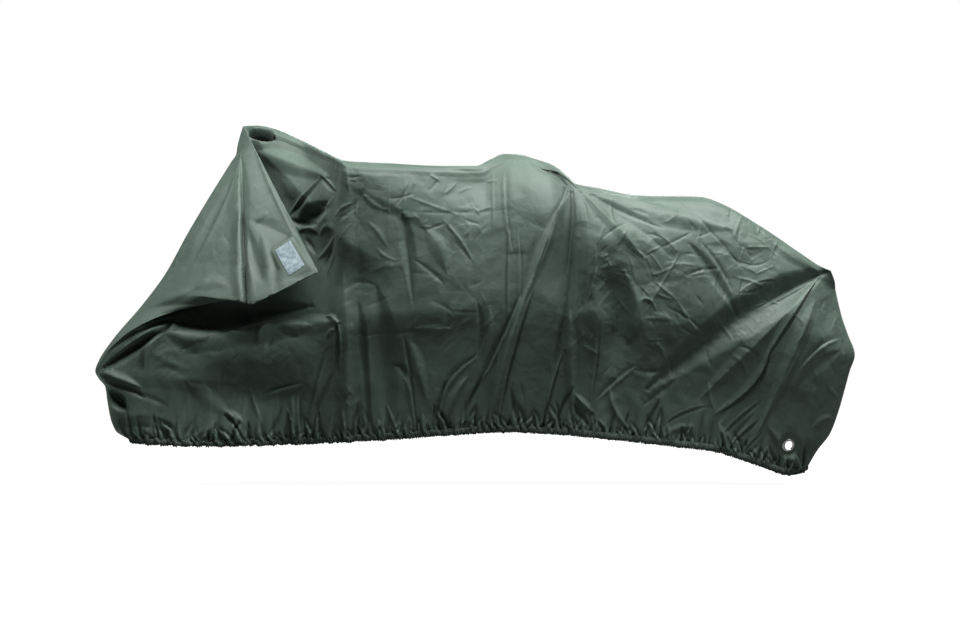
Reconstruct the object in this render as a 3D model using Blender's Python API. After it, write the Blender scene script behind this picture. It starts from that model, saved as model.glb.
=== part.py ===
"""Fitted cover for a tandem bicycle, standing in its draped shape with no bicycle inside.

The sheet is one piece: a near side and a far side that meet along the top line, the front edge
and the rear edge, an overlapping pleat of spare cloth at the front and a gathered hem all round.
Tables are in centimetres above the ground, +X to the rear, +Y to the far side.
"""
import math

import bmesh
import bpy
import numpy as np
from mathutils import Matrix, Vector

CM = 0.01
GAP = 0.0005                    # air between pieces
ORIGIN = (10.5, 0.0, 112.2)     # underside of the top over the middle support, cm

SHEET_THICK = 0.0018
HEM_THICK = 0.0030
HEM_BAND = 0.016                # height of the thicker hem
ROWS, BODY_COLS, FLAP_COLS, TUCK_COLS = 84, 200, 20, 12
SHEET_FACES = 5450              # triangles kept in one skin of the sheet
TOP_ROUND = 1.8                 # power that rounds the cloth over the top line

NOSE_ROUND, TAIL_ROUND = 0.10, 0.09   # share of the length that rounds into each end
FLAP_END = 0.783                # height share where the pleat runs out
TUCK_SAG = 2.2                  # cm between the pleat's two layers
FOLD_STEPS = 10                 # straight pieces in each fold line
FLAP_BOW = 0.85                 # power that bows the pleat's outer layer outward
BODY_LAG, TOP_LAG = 0.30, 0.02  # share of the length over which the wall under the pleat fills out
LAG_FROM, LAG_RUN = 0.05, 0.40  # height shares between which that share grows from top to body
BELOW_FROM, BELOW_RUN = 0.25, 0.30    # height shares over which the wall leaves the pleat for the nose
SAG_NEAR, SAG_FAR = 0.015, 0.12       # length shares between which the wall bulges beside the pleat
ROOM_TOP, ROOM_LOW = 0.10, 0.08       # height shares over which the pleat opens and closes
OUTER_FADE, UNDER_FADE = 0.3, 1.5     # how the folds fade towards the front edge and the pleat's root
EDGE_EASE_T, EDGE_EASE_S = 0.02, 0.03  # shares of height and length kept free of folds at the seams
FOLD_ENDS, FOLD_TAPER = 0.03, 0.5     # how a fold narrows at its ends
GATHER_ENDS = 10.0              # cm over which the gathers start at each end of the hem
GATHER_DRIFT, GATHER_DRIFT_LENGTH = 1.3, 9.7   # cm by which the gathers wander, and over what length

HOLE_R, RING_R, BARREL_WALL, RING_LIP = 0.0158, 0.0222, 0.0012, 0.0013
RING_BEVEL_IN, RING_BEVEL_OUT, RING_SIDE, RING_UNDERCUT = 0.0012, 0.0022, 0.0004, 0.0002
RING_STEPS = 40
CUTTER_HALF = 0.03
EYELET_REACH, LABEL_REACH = 0.02, 0.05   # cloth that sets the tilt of each fitting
EYELET_FLAT, EYELET_BLEND = 0.030, 0.050
LABEL_W, LABEL_L, LABEL_THICK, LABEL_CORNER = 0.066, 0.112, 0.0010, 0.004
LABEL_FLAT, LABEL_BLEND = 0.012, 0.040


def table(columns, *rows):
    """Rows of numbers under named columns, as one array for each column."""
    return dict(zip(columns.split(), np.array(rows, float).T))


TOP_LINE = table("x z y",        # highest cloth from the front peak to the rear corner
    (-83.0, 123.7, 24), (-78.3, 123.8, 22), (-73.2, 122.9, 20), (-61.7, 117.8, 6), (-53.2, 113.2, -8),
    (-44.6, 108.8, -22), (-38.3, 108.5, -17), (-30.1, 108.4, -12), (-13.5, 108.0, -4), (-1.4, 108.2, 0),
    (3.4, 110.4, 0), (8.5, 112.4, 0), (12.9, 112.2, 0), (18.7, 110.7, 0), (24.8, 108.3, -3),
    (28.9, 104.6, -9), (32.4, 101.2, -14), (40.5, 100.3, -7), (54.3, 98.2, -1), (68.0, 98.0, 0),
    (74.8, 97.8, 0), (79.9, 96.3, 0), (95.2, 87.8, 0), (108.8, 78.6, 0), (115.3, 74.1, -2), (118.7, 72.5, -4))
HEM_LINE = table("x z near far",   # lower edge; near and far are its distances from the middle plane
    (-117.5, 15.3, 10, -6), (-107.0, 14.5, 13, 0), (-93.5, 14.2, 14, 7), (-73.5, 14.5, 14, 12),
    (-45.1, 15.7, 14.5, 14), (-26.7, 16.8, 15, 15), (-10.0, 18.1, 15, 15), (10.0, 19.1, 15, 15),
    (26.7, 18.3, 15, 15), (40.0, 17.1, 15, 15), (53.4, 15.7, 14, 14), (66.9, 14.0, 13, 13),
    (76.4, 12.9, 12, 12), (90.0, 9.0, 10, 10), (98.3, 6.0, 8, 8), (104.6, 4.2, 6, 6),
    (109.4, 4.7, 3, 3), (111.5, 6.0, 0, 0))
FRONT_EDGE = table("x z y",
    (-83.0, 123.7, 24), (-83.9, 120.5, 23), (-84.7, 116.3, 21), (-84.9, 113.8, 19.5),
    (-86.6, 110.7, 18), (-94.3, 96.4, 10),
    (-100.2, 85.2, 5), (-107.1, 71.4, 0), (-114.5, 60.5, -5), (-122.9, 49.8, -10), (-127.3, 42.4, -14),
    (-128.4, 38.8, -15), (-127.3, 36.1, -14), (-125.4, 33.4, -13), (-124.9, 29.0, -12),
    (-123.9, 22.9, -11), (-122.2, 18.8, -10), (-117.5, 15.3, -10))
REAR_EDGE = table("x z y",
    (118.7, 72.5, -4), (120.4, 68.7, -2), (121.0, 65.7, 0), (123.1, 56.8, 0), (125.1, 51.0, 0),
    (127.5, 43.9, 0), (125.8, 38.5, 0), (124.4, 33.4, 0), (122.1, 25.2, 0), (119.0, 17.0, 0),
    (114.9, 11.6, 0), (111.5, 6.0, 0))
FLAP_EDGE = table("t x z y",      # folded edge of the front pleat: down to its corner, then back to the nose
    (0.00, -83.0, 123.7, 24), (0.12, -77.3, 114.1, 13.5), (0.22, -70.0, 101.2, 0), (0.32, -61.6, 86.6, -13),
    (0.42, -53.3, 71.6, -27), (0.46, -63.9, 66.2, -26.5), (0.51, -75.0, 60.8, -25.0),
    (0.54, -79.5, 62.8, -20.8), (0.58, -91.2, 61.1, -14.3), (0.63, -103.0, 58.5, -12),
    (0.69, -116.5, 52.5, -12.5), (0.74, -124.0, 45.8, -14), (FLAP_END, -128.4, 38.8, -15))
FLAP_ROOT = table("t x z y",      # hidden line where the pleat turns back into the wall
    (0.04, -81.0, 119.6, 21), (0.12, -80.0, 111.0, 21), (0.22, -79.5, 99.0, 13), (0.32, -82.0, 87.5, 6),
    (0.42, -87.5, 76.5, 0), (0.51, -95.0, 66.5, -4), (0.58, -101.5, 62.0, -4), (0.63, -108.0, 58.5, -6.5),
    (0.69, -116.5, 52.5, -12.5))
SECTIONS = table("s n_shoulder n_flank n_belly n_low f_shoulder f_flank f_belly f_low",
    (0.00, 22, 13, -2, -9, 27, 28, 14, -4),
    (0.10, 4, -2, -7, -12, 25, 29, 22, 8),
    (0.19, -25, -25, -23, -18, -6, 16, 21, 15),
    (0.30, -17, -24, -25, -19, 1, 16, 21, 17),
    (0.43, -8, -21, -24, -19, 8, 20, 22, 18),
    (0.50, -11, -23, -24, -19, 8, 20, 22, 18),
    (0.56, -22, -27, -25, -19, 0, 18, 22, 18),
    (0.65, -12, -22, -22, -17, 8, 18, 20, 16),
    (0.76, -9, -16, -19, -15, 8, 15, 17, 14),
    (0.88, -7, -13, -15, -12, 6, 12, 14, 11),
    (1.00, -4, -6, -6, -4, 4, 6, 6, 4))
SECTION_T = (0.0, 0.06, 0.25, 0.50, 0.78, 1.0)   # height shares of spine, shoulder, flank, belly, low, hem

FOLDS = table("x0 z0 x1 z1 x2 z2 wide out crisp",   # near side: ridges (+) and troughs (-), start, middle, end
    (-44.8, 107.5, -45.4, 62, -44.1, 16, 3.2, 1.4, 1), (-40.4, 62, -38.5, 46, -37.1, 16, 2.2, -0.8, 0),
    (-36.5, 56, -35.8, 36, -34.5, 17, 2.2, 0.7, 0), (-38.1, 99.6, -41.1, 94, -45.7, 89.6, 2.0, -0.9, 1),
    (-38.8, 97.6, -35.1, 94, -30.8, 92, 1.8, 0.7, 1), (-30.2, 102, -30.2, 90.6, -30.5, 79, 1.8, 0.5, 1),
    (-25.2, 103, -24.9, 94, -25.9, 84, 1.8, 0.5, 1), (-3.6, 92.3, -3.6, 84, -3.3, 75, 1.8, 0.5, 1),
    (4.3, 105.5, 4.3, 95.6, 4.3, 84, 2.0, 0.7, 1), (9.3, 105.5, 9.3, 99, 9.6, 91, 2.0, -0.7, 1),
    (9.9, 89.6, 13.6, 72, 10.3, 62, 2.4, 1.2, 1), (12.3, 88.3, 16.2, 72, 12.3, 61, 2.2, -1.0, 0),
    (-30.2, 91.6, -9.9, 91.3, 9.3, 91.9, 1.6, -0.5, 1), (-25.2, 97, -14.3, 93, -5.0, 90, 1.8, 0.7, 1),
    (-12.9, 89.6, -6.6, 82.3, -2.3, 75, 2.0, 0.8, 1), (-25.9, 90.6, -23.9, 80.7, -22.2, 70.7, 3.0, -1.1, 0),
    (-22.2, 52.8, -15.2, 52.8, -8.0, 52.8, 2.0, 0.8, 1), (-25.9, 51.8, -22.9, 37.6, -20.9, 22, 2.6, -1.3, 1),
    (1.3, 48.5, -9.3, 35.9, -14.3, 24.3, 3.0, -1.3, 0), (2.7, 38.2, -2.0, 30.9, -5.3, 23.3, 2.4, -0.9, 0),
    (29.8, 98.9, 16.6, 69.7, 9.0, 45, 2.8, 1.6, 1), (10.5, 54, 4.3, 37.2, 3.0, 18, 3.6, 1.6, 1),
    (27.8, 99.9, 21.5, 86.3, 14.9, 72.4, 2.0, -1.2, 1), (30.5, 98, 27.5, 62.4, 18.6, 23, 3.4, -1.7, 0),
    (32.8, 98.6, 45.1, 86.3, 54.7, 76, 2.6, 1.5, 1), (33.5, 99.2, 47.1, 92.3, 61, 86, 2.0, -1.0, 1),
    (36.8, 88.3, 44.8, 75, 41.8, 50.8, 4.5, -1.8, 0), (48.0, 72, 51.7, 59, 49.0, 47.5, 3.0, 0.9, 0),
    (38.5, 62.8, 38.8, 52.5, 38.5, 43.2, 1.6, -0.9, 1), (32.5, 31, 32.8, 27.5, 32.5, 23, 2.2, 0.9, 0),
    (67.6, 80.3, 61.0, 69, 54.0, 57.5, 2.0, 0.8, 1), (67.6, 82.3, 76.9, 69, 86.9, 56, 2.4, -1.2, 1),
    (54.0, 77.3, 58.0, 79, 62.0, 80.3, 2.0, 0.8, 1), (70.3, 70, 75.6, 71, 80.6, 71.4, 2.0, -0.7, 1),
    (57.3, 58, 60.3, 57, 63.6, 56, 2.4, 1.0, 0), (67.0, 56.8, 70.6, 52.8, 73.9, 48.8, 2.0, -0.9, 1),
    (115.0, 71.4, 88.2, 56, 54.0, 24, 3.4, -1.5, 0), (115.7, 70.7, 88.2, 45.9, 70.3, 29, 3.2, 1.3, 1),
    (116.4, 70, 99.1, 47.8, 67.6, 18.7, 2.4, -1.3, 1), (121.3, 49.8, 115.4, 45.2, 108.0, 40.6, 2.2, 1.5, 1),
    (119.3, 45.2, 113.4, 40.2, 106.0, 36, 2.5, -1.3, 0), (107.4, 39.9, 101.4, 29.3, 94.5, 18.7, 2.2, 1.1, 1),
    (50.4, 38.6, 55.0, 38.4, 60.0, 38.6, 2.0, -0.9, 1), (50.4, 37.9, 45.1, 33.3, 39.4, 28.3, 2.2, -1.0, 1),
    (85.5, 21, 89.5, 21.3, 94.0, 21.7, 2.6, 0.9, 0), (-102.8, 53.1, -92.2, 51.5, -78.0, 52.5, 2.6, 1.6, 0),
    (-82.0, 52, -71.3, 54.5, -60.0, 55.5, 2.6, 1.8, 0), (-64.6, 55.1, -56.4, 55.8, -48.0, 56.1, 2.4, 1.6, 0),
    (-97.8, 37.6, -77.9, 34.3, -58.0, 39.2, 7.0, -2.2, 0), (-73.6, 47.8, -71.9, 50.8, -69.6, 53.1, 2.0, 1.2, 1),
    (-51.0, 57, -48.4, 56.5, -47.0, 54, 2.0, 1.4, 0), (-47.4, 55.1, -48.1, 47.5, -49.1, 38.9, 1.6, -1.2, 1),
    (-71.3, 29.9, -65.6, 31.9, -60.7, 32.9, 2.4, 1.4, 0), (-61.0, 27.6, -60.7, 23.3, -60.7, 17.7, 1.8, -1.1, 1),
    (-84.5, 24, -81.9, 20.3, -78.9, 16.7, 2.0, 0.9, 0), (-111.4, 46.2, -103.4, 42.5, -95.1, 38.9, 2.0, 0.9, 0),
    (-109.4, 42.5, -104.4, 45.2, -96.1, 45.9, 1.8, 0.7, 0), (-127.3, 38.6, -121.7, 36.2, -115.7, 33.3, 2.0, 1.6, 0),
    (-123.6, 31.9, -122.0, 28.6, -119.0, 25.3, 2.8, -1.8, 0), (-72.9, 108.5, -68.0, 105, -62.7, 101, 3.0, -1.6, 0),
    (-66.0, 106, -59.0, 104, -53.0, 105.5, 2.0, 0.9, 0), (-60.7, 94.9, -57.0, 99.6, -53.0, 103.5, 2.0, -1.7, 1),
    (-63.6, 90.9, -59.7, 89, -55.7, 87.5, 2.4, -1.5, 0), (-60.7, 85.6, -57.5, 85.4, -54.4, 85.8, 1.8, 1.2, 1),
    (-58.3, 82.6, -57.0, 80.3, -56.4, 78, 2.0, -1.2, 0), (-76.6, 117, -65.6, 111.5, -54.4, 106, 2.4, 1.2, 1),
    (-80.5, 121.2, -76.5, 121.0, -73.0, 119.6, 1.8, -1.3, 0))
FLAP_FOLDS = table("x0 z0 x1 z1 x2 z2 wide out crisp",
    (-81.9, 107, -80.6, 83.6, -77.6, 62.5, 2.6, -1.6, 1), (-79.2, 89.6, -77.2, 75, -75.3, 61.0, 2.4, 1.5, 1),
    (-77.2, 86.6, -74.3, 79, -71.3, 71.7, 2.6, -1.0, 0), (-74.9, 88.3, -70.6, 85.3, -65.3, 82.3, 2.2, 0.9, 0),
    (-92.8, 85.6, -94.1, 75.7, -96.1, 67.4, 3.5, 0.9, 0), (-86.0, 100, -88.5, 88, -90.0, 76, 3.0, -0.7, 0))
FAR_FOLDS = table("x0 z0 x1 z1 x2 z2 wide out crisp",
    (-70.0, 110, -78.0, 84, -92.0, 60, 5, 1.3, 0), (-66.0, 110, -64.0, 82, -60.0, 50, 5, 1.2, 0),
    (-30.0, 98, -32.0, 62, -36.0, 26, 5, 1.1, 0), (8.0, 102, 11.0, 70, 12.0, 36, 5, 1.2, 0),
    (30.0, 94, 36.0, 66, 44.0, 36, 5, 1.2, 0), (76.0, 90, 70.0, 60, 62.0, 28, 5, 1.1, 0),
    (112.0, 68, 96.0, 52, 80.0, 33, 5, 1.3, 0), (112.0, 64, 107.0, 44, 98.0, 24, 4, -1.2, 0),
    (-112.0, 50, -96.0, 46, -78.0, 45, 6, -1.3, 0), (-8.0, 60, 11.0, 60, 30.0, 62, 6, -0.8, 0))
GATHERS = table("pitch along depth reach",   # hem gathers: length, shift, y push, height they fade over
    (7.3, 0.0, 0.55, 11.0), (4.6, 1.7, 0.35, 7.0), (19.0, 4.0, 0.7, 16.0))
NEAR_EYELET = dict(x=104.0, z=13.5, side=-1)
FAR_EYELET = dict(x=106.0, z=12.7, side=1)
LABEL_MIDDLE, LABEL_TURN = (-63.0, 76.3), math.radians(26.6)


def pchip(knots, values, at):
    """Monotone cubic through the knots: follows corners without overshoot."""
    knots, values, at = np.asarray(knots, float), np.asarray(values, float), np.asarray(at, float)
    step, rise = np.diff(knots), np.diff(values) / np.diff(knots)
    slope = np.empty_like(values)
    slope[0], slope[-1] = rise[0], rise[-1]
    both = rise[:-1] * rise[1:] > 0
    mean = 2.0 / (1.0 / np.where(both, rise[:-1], 1.0) + 1.0 / np.where(both, rise[1:], 1.0))
    slope[1:-1] = np.where(both, mean, 0.0)
    cell = np.clip(np.searchsorted(knots, at, side="right") - 1, 0, len(step) - 1)
    h = step[cell]
    v = np.clip((at - knots[cell]) / h, 0.0, 1.0)
    v2, v3 = v * v, v * v * v
    return (values[cell] * (2 * v3 - 3 * v2 + 1) + values[cell + 1] * (3 * v2 - 2 * v3)
            + h * (slope[cell] * (v3 - 2 * v2 + v) + slope[cell + 1] * (v3 - v2)))


def shares(line):
    """Share of a line's own length at each of its rows."""
    run = np.concatenate([[0.0], np.cumsum(np.hypot(np.diff(line["x"]), np.diff(line["z"])))])
    return run / run[-1]


def along(line, at, names="x z y", key=None):
    """Points of a line at the given shares, one array column for each name."""
    knots = line[key] if key else shares(line)
    return np.stack([pchip(knots, line[name], at) for name in names.split()], axis=-1)


def smooth(v):
    v = np.clip(v, 0.0, 1.0)
    return v * v * (3 - 2 * v)


def rounded(v):
    """Quarter-circle rise from 0 to 1."""
    return np.sqrt(1.0 - (1.0 - np.clip(v, 0.0, 1.0)) ** 2)


def coons(top, low, left, right):
    """Blend four edge lines (arrays of points) into a sheet of rows by columns."""
    s = np.linspace(0, 1, len(top))[None, :, None]
    t = HEIGHTS[:, None, None]
    corners = ((1 - s) * (1 - t) * top[0] + s * (1 - t) * top[-1] + (1 - s) * t * low[0] + s * t * low[-1])
    return (1 - t) * top + t * low + (1 - s) * left[:, None] + s * right[:, None] - corners


def lift(points, folds, outward):
    """Push points outward along ridge lines and inward along troughs, dying out at their ends."""
    x, z = points[..., 0].copy(), points[..., 2].copy()
    for x0, z0, x1, z1, x2, z2, wide, out, crisp in zip(*folds.values()):
        v = np.linspace(0, 1, FOLD_STEPS + 1)
        bend_x, bend_z = 2 * x1 - (x0 + x2) / 2, 2 * z1 - (z0 + z2) / 2
        line_x = (1 - v) ** 2 * x0 + 2 * v * (1 - v) * bend_x + v * v * x2
        line_z = (1 - v) ** 2 * z0 + 2 * v * (1 - v) * bend_z + v * v * z2
        best = np.zeros_like(x)
        for i in range(FOLD_STEPS):
            run, rise = line_x[i + 1] - line_x[i], line_z[i + 1] - line_z[i]
            part = np.clip(((x - line_x[i]) * run + (z - line_z[i]) * rise) / (run * run + rise * rise), 0, 1)
            far = np.hypot(x - line_x[i] - part * run, z - line_z[i] - part * rise)
            place = np.clip((i + part) / FOLD_STEPS, FOLD_ENDS, 1 - FOLD_ENDS)
            size = np.sin(math.pi * place) ** FOLD_TAPER
            shape = np.clip(1 - far / (wide * size), 0, 1)
            if not crisp:
                shape = smooth(shape)
            best = np.maximum(best, shape * size)
        points[..., 1] += outward * out * best
    return points


def side_wall(side, top, front):
    """One side as rows by columns: side -1 is the near one, +1 the far one."""
    name = "near" if side < 0 else "far"
    hem_s = np.linspace(0, 1, len(top))
    low = along(HEM_LINE, hem_s, "x z " + name)
    low[:, 2] *= side
    hem = low[:, [0, 1, 2]]
    rear = along(REAR_EDGE, HEIGHTS)
    plan = coons(top[:, :2], hem[:, :2], front[:, :2], rear[:, :2])
    letter = name[0]
    profile = np.stack([top[:, 2]] + [pchip(SECTIONS["s"], SECTIONS[letter + part], hem_s) for part in
                       ("_shoulder", "_flank", "_belly", "_low")] + [hem[:, 2]], axis=0)
    knots = np.array(SECTION_T) ** (1 / TOP_ROUND)
    y = np.stack([pchip(knots, profile[:, i], HEIGHTS ** (1 / TOP_ROUND)) for i in range(len(top))], axis=1)
    s = hem_s[None, :]
    if side < 0:
        below = smooth((HEIGHTS - FLAP_END + BELOW_FROM) / BELOW_RUN)[:, None]
        lag = TOP_LAG + (BODY_LAG - TOP_LAG) * smooth((HEIGHTS - LAG_FROM) / LAG_RUN)[:, None]
        lead = smooth(s / lag) ** 0.6 * (1 - below) + rounded(s / NOSE_ROUND) * below
    else:
        lead = rounded(s / NOSE_ROUND)
    y = front[:, 2][:, None] * (1 - lead) + y * lead
    if side < 0:
        y += TUCK_SAG * rounded(s / SAG_NEAR) * (1 - smooth(s / SAG_FAR)) * pleat_room()[:, None]
    tail = rounded((1 - s) / TAIL_ROUND)
    y = rear[:, 2][:, None] * (1 - tail) + y * tail
    y[0] = top[:, 2]
    return np.stack([plan[..., 0], y, plan[..., 1]], axis=-1)


def pleat_room():
    """How far the pleat's layers stand apart at each height, 0 to 1."""
    first, last = FLAP_ROOT["t"][0], FLAP_ROOT["t"][-1]
    return smooth((last - HEIGHTS) / ROOM_LOW) * smooth((HEIGHTS - first) / ROOM_TOP)


def pleat():
    """Front pleat: outer layer from the front edge to the folded edge, then back to its root."""
    edge, root = along(FLAP_EDGE, HEIGHTS, key="t"), along(FLAP_ROOT, HEIGHTS, key="t")
    front = along(FRONT_EDGE, HEIGHTS)
    past = HEIGHTS >= FLAP_END
    edge[past] = front[past]
    flat = (HEIGHTS <= FLAP_ROOT["t"][0]) | (HEIGHTS >= FLAP_ROOT["t"][-1])
    root[flat] = edge[flat]
    v = np.linspace(0, 1, FLAP_COLS + 1)[None, :, None]
    outer = front[:, None] * (1 - v) + edge[:, None] * v
    outer[..., 2] = front[:, 2:] + (edge[:, 2:] - front[:, 2:]) * v[..., 0] ** FLAP_BOW
    w = np.linspace(0, 1, TUCK_COLS + 1)[None, 1:, None]
    under = edge[:, None] * (1 - w) + root[:, None] * w
    open_to = pleat_room()
    outer[..., 2] -= (np.sin(math.pi * v[..., 0]) * open_to[:, None]) * TUCK_SAG * 0.5
    under[..., 2] += (np.sin(math.pi * w[..., 0]) * open_to[:, None]) * TUCK_SAG
    outer, under = outer[..., [0, 2, 1]], under[..., [0, 2, 1]]
    outer_fade = (np.sin(math.pi / 2 * np.clip(v[..., 0] / OUTER_FADE, 0, 1)) * open_to[:, None])[..., None]
    under_fade = ((1 - w[..., 0]) ** UNDER_FADE * open_to[:, None])[..., None]
    outer = outer + (lift(outer.copy(), FLAP_FOLDS, -1) - outer) * outer_fade
    under = under + (lift(under.copy(), FLAP_FOLDS, -1) - under) * under_fade
    return outer, under, root


def gather(wall, side):
    """Uneven gathers that the hem's elastic draws in, fading upward."""
    run = np.concatenate([[0], np.cumsum(np.hypot(*np.diff(wall[-1][:, [0, 2]], axis=0).T))])
    above = np.hypot(wall[..., 0] - wall[-1][None, :, 0], wall[..., 2] - wall[-1][None, :, 2])
    ends = smooth(run / GATHER_ENDS) * smooth((run[-1] - run) / GATHER_ENDS)
    for pitch, shift, depth, reach in zip(*GATHERS.values()):
        drift = GATHER_DRIFT * np.sin(run / GATHER_DRIFT_LENGTH + pitch)
        wave = np.sin(2 * math.pi * (run + shift + drift) / pitch) * ends
        wall[..., 1] += side * depth * wave[None, :] * np.exp(-(above / reach) ** 2)
    return wall


def flatten(points, centre, normal, flat, blend, half=(0.0, 0.0), axes=None):
    """Lay the cloth flat round a fitting, easing back into the folds further out."""
    offset = points - centre
    if axes is None:
        away = np.linalg.norm(offset - np.outer(offset @ normal, normal), axis=1)
    else:
        out = np.maximum(np.abs(offset @ axes.T) - np.array(half), 0)
        away = np.hypot(out[:, 0], out[:, 1])
    keep = smooth((away - flat) / (blend - flat))
    points -= np.outer((offset @ normal) * (1 - keep), normal)


def sheet_points():
    """Grid points of the near side (with its pleat) and of the far side, in metres."""
    s = np.linspace(0, 1, BODY_COLS + 1)
    top, front = along(TOP_LINE, s), along(FRONT_EDGE, HEIGHTS)
    outer, under, root = pleat()
    near = side_wall(-1, top, root)
    plain = near.copy()
    ease = (smooth(HEIGHTS / EDGE_EASE_T)[:, None] * rounded((1 - s) / EDGE_EASE_S)[None, :])[..., None]
    nose = np.where(HEIGHTS[:, None] < FLAP_END, 1, rounded(s / EDGE_EASE_S)[None, :])[..., None]
    near = plain + (lift(near, FOLDS, -1) - plain) * ease * nose
    far = side_wall(1, top, front)
    plain = far.copy()
    far = plain + (lift(far, FAR_FOLDS, 1) - plain) * ease
    near, far = gather(near, -1), gather(far, 1)
    far[:, 0], far[:, -1], near[:, -1] = front[:, [0, 2, 1]], near[:, -1], near[:, -1]
    outer[:, 0] = far[:, 0]
    near[:, 0] = under[:, -1]
    near = np.concatenate([outer, under, near[:, 1:]], axis=1)
    return (near - ORIGIN) * CM, (far - ORIGIN) * CM


HEIGHTS = np.linspace(0, 1, ROWS + 1) ** TOP_ROUND


def frame_at(points, x, z, side, reach=EYELET_REACH):
    """Centre and outward normal of the cloth round a place of one side."""
    wall = points.reshape(-1, 3)
    spot = np.array([(x - ORIGIN[0]) * CM, (z - ORIGIN[2]) * CM])
    away = np.linalg.norm(wall[:, [0, 2]] - spot, axis=1)
    patch = wall[away < reach]
    fit, *_ = np.linalg.lstsq(np.c_[patch[:, [0, 2]] - spot, np.ones(len(patch))], patch[:, 1], rcond=None)
    normal = np.array([-fit[0], 1.0, -fit[1]]) * side
    return np.array([spot[0], fit[2], spot[1]]), normal / np.linalg.norm(normal)


def new_object(name, bm, colour, rough, metal=0.0):
    mesh = bpy.data.meshes.new(name)
    bm.to_mesh(mesh)
    bm.free()
    item = bpy.data.objects.new(name, mesh)
    bpy.context.scene.collection.objects.link(item)
    material = bpy.data.materials.new(name + "_material")
    material.use_nodes = True
    shader = material.node_tree.nodes["Principled BSDF"]
    shader.inputs["Base Color"].default_value = (*colour, 1)
    shader.inputs["Roughness"].default_value = rough
    shader.inputs["Metallic"].default_value = metal
    mesh.materials.append(material)
    return item


def applied(item):
    """The object's mesh with its modifiers worked in."""
    graph = bpy.context.evaluated_depsgraph_get()
    mesh = bpy.data.meshes.new_from_object(item.evaluated_get(graph), depsgraph=graph)
    item.modifiers.clear()
    item.data = mesh
    return item


def grid_faces(bm, verts):
    for upper, lower in zip(verts[:-1], verts[1:]):
        for a, b, c, d in zip(upper[:-1], upper[1:], lower[1:], lower[:-1]):
            bm.faces.new((a, d, c, b))


def build_sheet(eyelets, label):
    near, far = sheet_points()
    for place in eyelets:
        wall = near if place["side"] < 0 else far
        place["centre"], place["normal"] = frame_at(wall, place["x"], place["z"], place["side"])
        flatten(wall.reshape(-1, 3), place["centre"], place["normal"], EYELET_FLAT, EYELET_BLEND)
    outer = near[:, :FLAP_COLS + 1]
    label["centre"], label["normal"] = frame_at(outer, *LABEL_MIDDLE, -1, reach=LABEL_REACH)
    normal = Vector(label["normal"])
    long = Vector((-math.sin(LABEL_TURN), 0, math.cos(LABEL_TURN)))
    long = (long - normal * long.dot(normal)).normalized()
    label["long"], label["wide"] = long, long.cross(normal).normalized()
    flat = outer.reshape(-1, 3).copy()
    flatten(flat, label["centre"], label["normal"], LABEL_FLAT, LABEL_BLEND,
            half=(LABEL_W / 2, LABEL_L / 2), axes=np.array([label["wide"], label["long"]]))
    near[:, :FLAP_COLS + 1] = flat.reshape(outer.shape)

    bm = bmesh.new()
    grid_faces(bm, [[bm.verts.new(p) for p in row] for row in near])
    grid_faces(bm, [[bm.verts.new(p) for p in row[::-1]] for row in far])
    bmesh.ops.remove_doubles(bm, verts=bm.verts, dist=2e-5)
    bmesh.ops.dissolve_degenerate(bm, edges=bm.edges, dist=1e-5)
    bmesh.ops.triangulate(bm, faces=bm.faces)
    sheet = new_object("cover", bm, (0.05, 0.09, 0.07), 0.45)
    thin = sheet.modifiers.new("thin", "DECIMATE")
    thin.ratio = SHEET_FACES / len(sheet.data.polygons)
    applied(sheet)
    bm = bmesh.new()
    bm.from_mesh(sheet.data)
    rim = {v for e in bm.edges if e.is_boundary for v in e.verts}
    rim_points = np.array([v.co for v in rim])
    band = [v.index for v in bm.verts if np.min(np.linalg.norm(rim_points - np.array(v.co), axis=1)) < HEM_BAND]
    bm.free()
    group = sheet.vertex_groups.new(name="hem")
    group.add(band, 1.0, "REPLACE")
    thick = sheet.modifiers.new("thick", "SOLIDIFY")
    thick.thickness, thick.offset = HEM_THICK, -1
    thick.vertex_group, thick.thickness_vertex_group = "hem", SHEET_THICK / HEM_THICK
    thick.use_even_offset = False
    return applied(sheet)


def spin(name, profile, centre, normal, colour, rough, metal, steps=RING_STEPS):
    """Solid of revolution about the cloth's normal from (radius, height) pairs."""
    turn = Vector((0, 0, 1)).rotation_difference(Vector(normal)).to_matrix().to_4x4()
    place = Matrix.Translation(Vector(centre)) @ turn
    bm = bmesh.new()
    rings = []
    for i in range(steps):
        angle = 2 * math.pi * i / steps
        across, up = math.cos(angle), math.sin(angle)
        rings.append([bm.verts.new(place @ Vector((r * across, r * up, h))) for r, h in profile])
    for ring, after in zip(rings, rings[1:] + rings[:1]):
        for j in range(len(profile)):
            k = (j + 1) % len(profile)
            bm.faces.new((ring[j], after[j], after[k], ring[k]))
    bmesh.ops.recalc_face_normals(bm, faces=bm.faces)
    return new_object(name, bm, colour, rough, metal)


def build_eyelet(name, place):
    """Two-lipped metal ring that grips the edge of its hole."""
    front, back = GAP, -SHEET_THICK - GAP
    bore, barrel, edge = HOLE_R, HOLE_R + BARREL_WALL, RING_R
    inner, outer, under = bore + RING_BEVEL_IN, edge - RING_BEVEL_OUT, edge - RING_UNDERCUT
    profile = ((bore, back - RING_LIP / 2), (bore, front + RING_LIP / 2), (inner, front + RING_LIP),
               (outer, front + RING_LIP), (edge, front + RING_SIDE), (under, front),
               (barrel, front), (barrel, back), (under, back), (edge, back - RING_SIDE),
               (outer, back - RING_LIP), (inner, back - RING_LIP))
    return spin(name, profile, place["centre"], place["normal"], (0.75, 0.76, 0.78), 0.25, 1.0)


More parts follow.
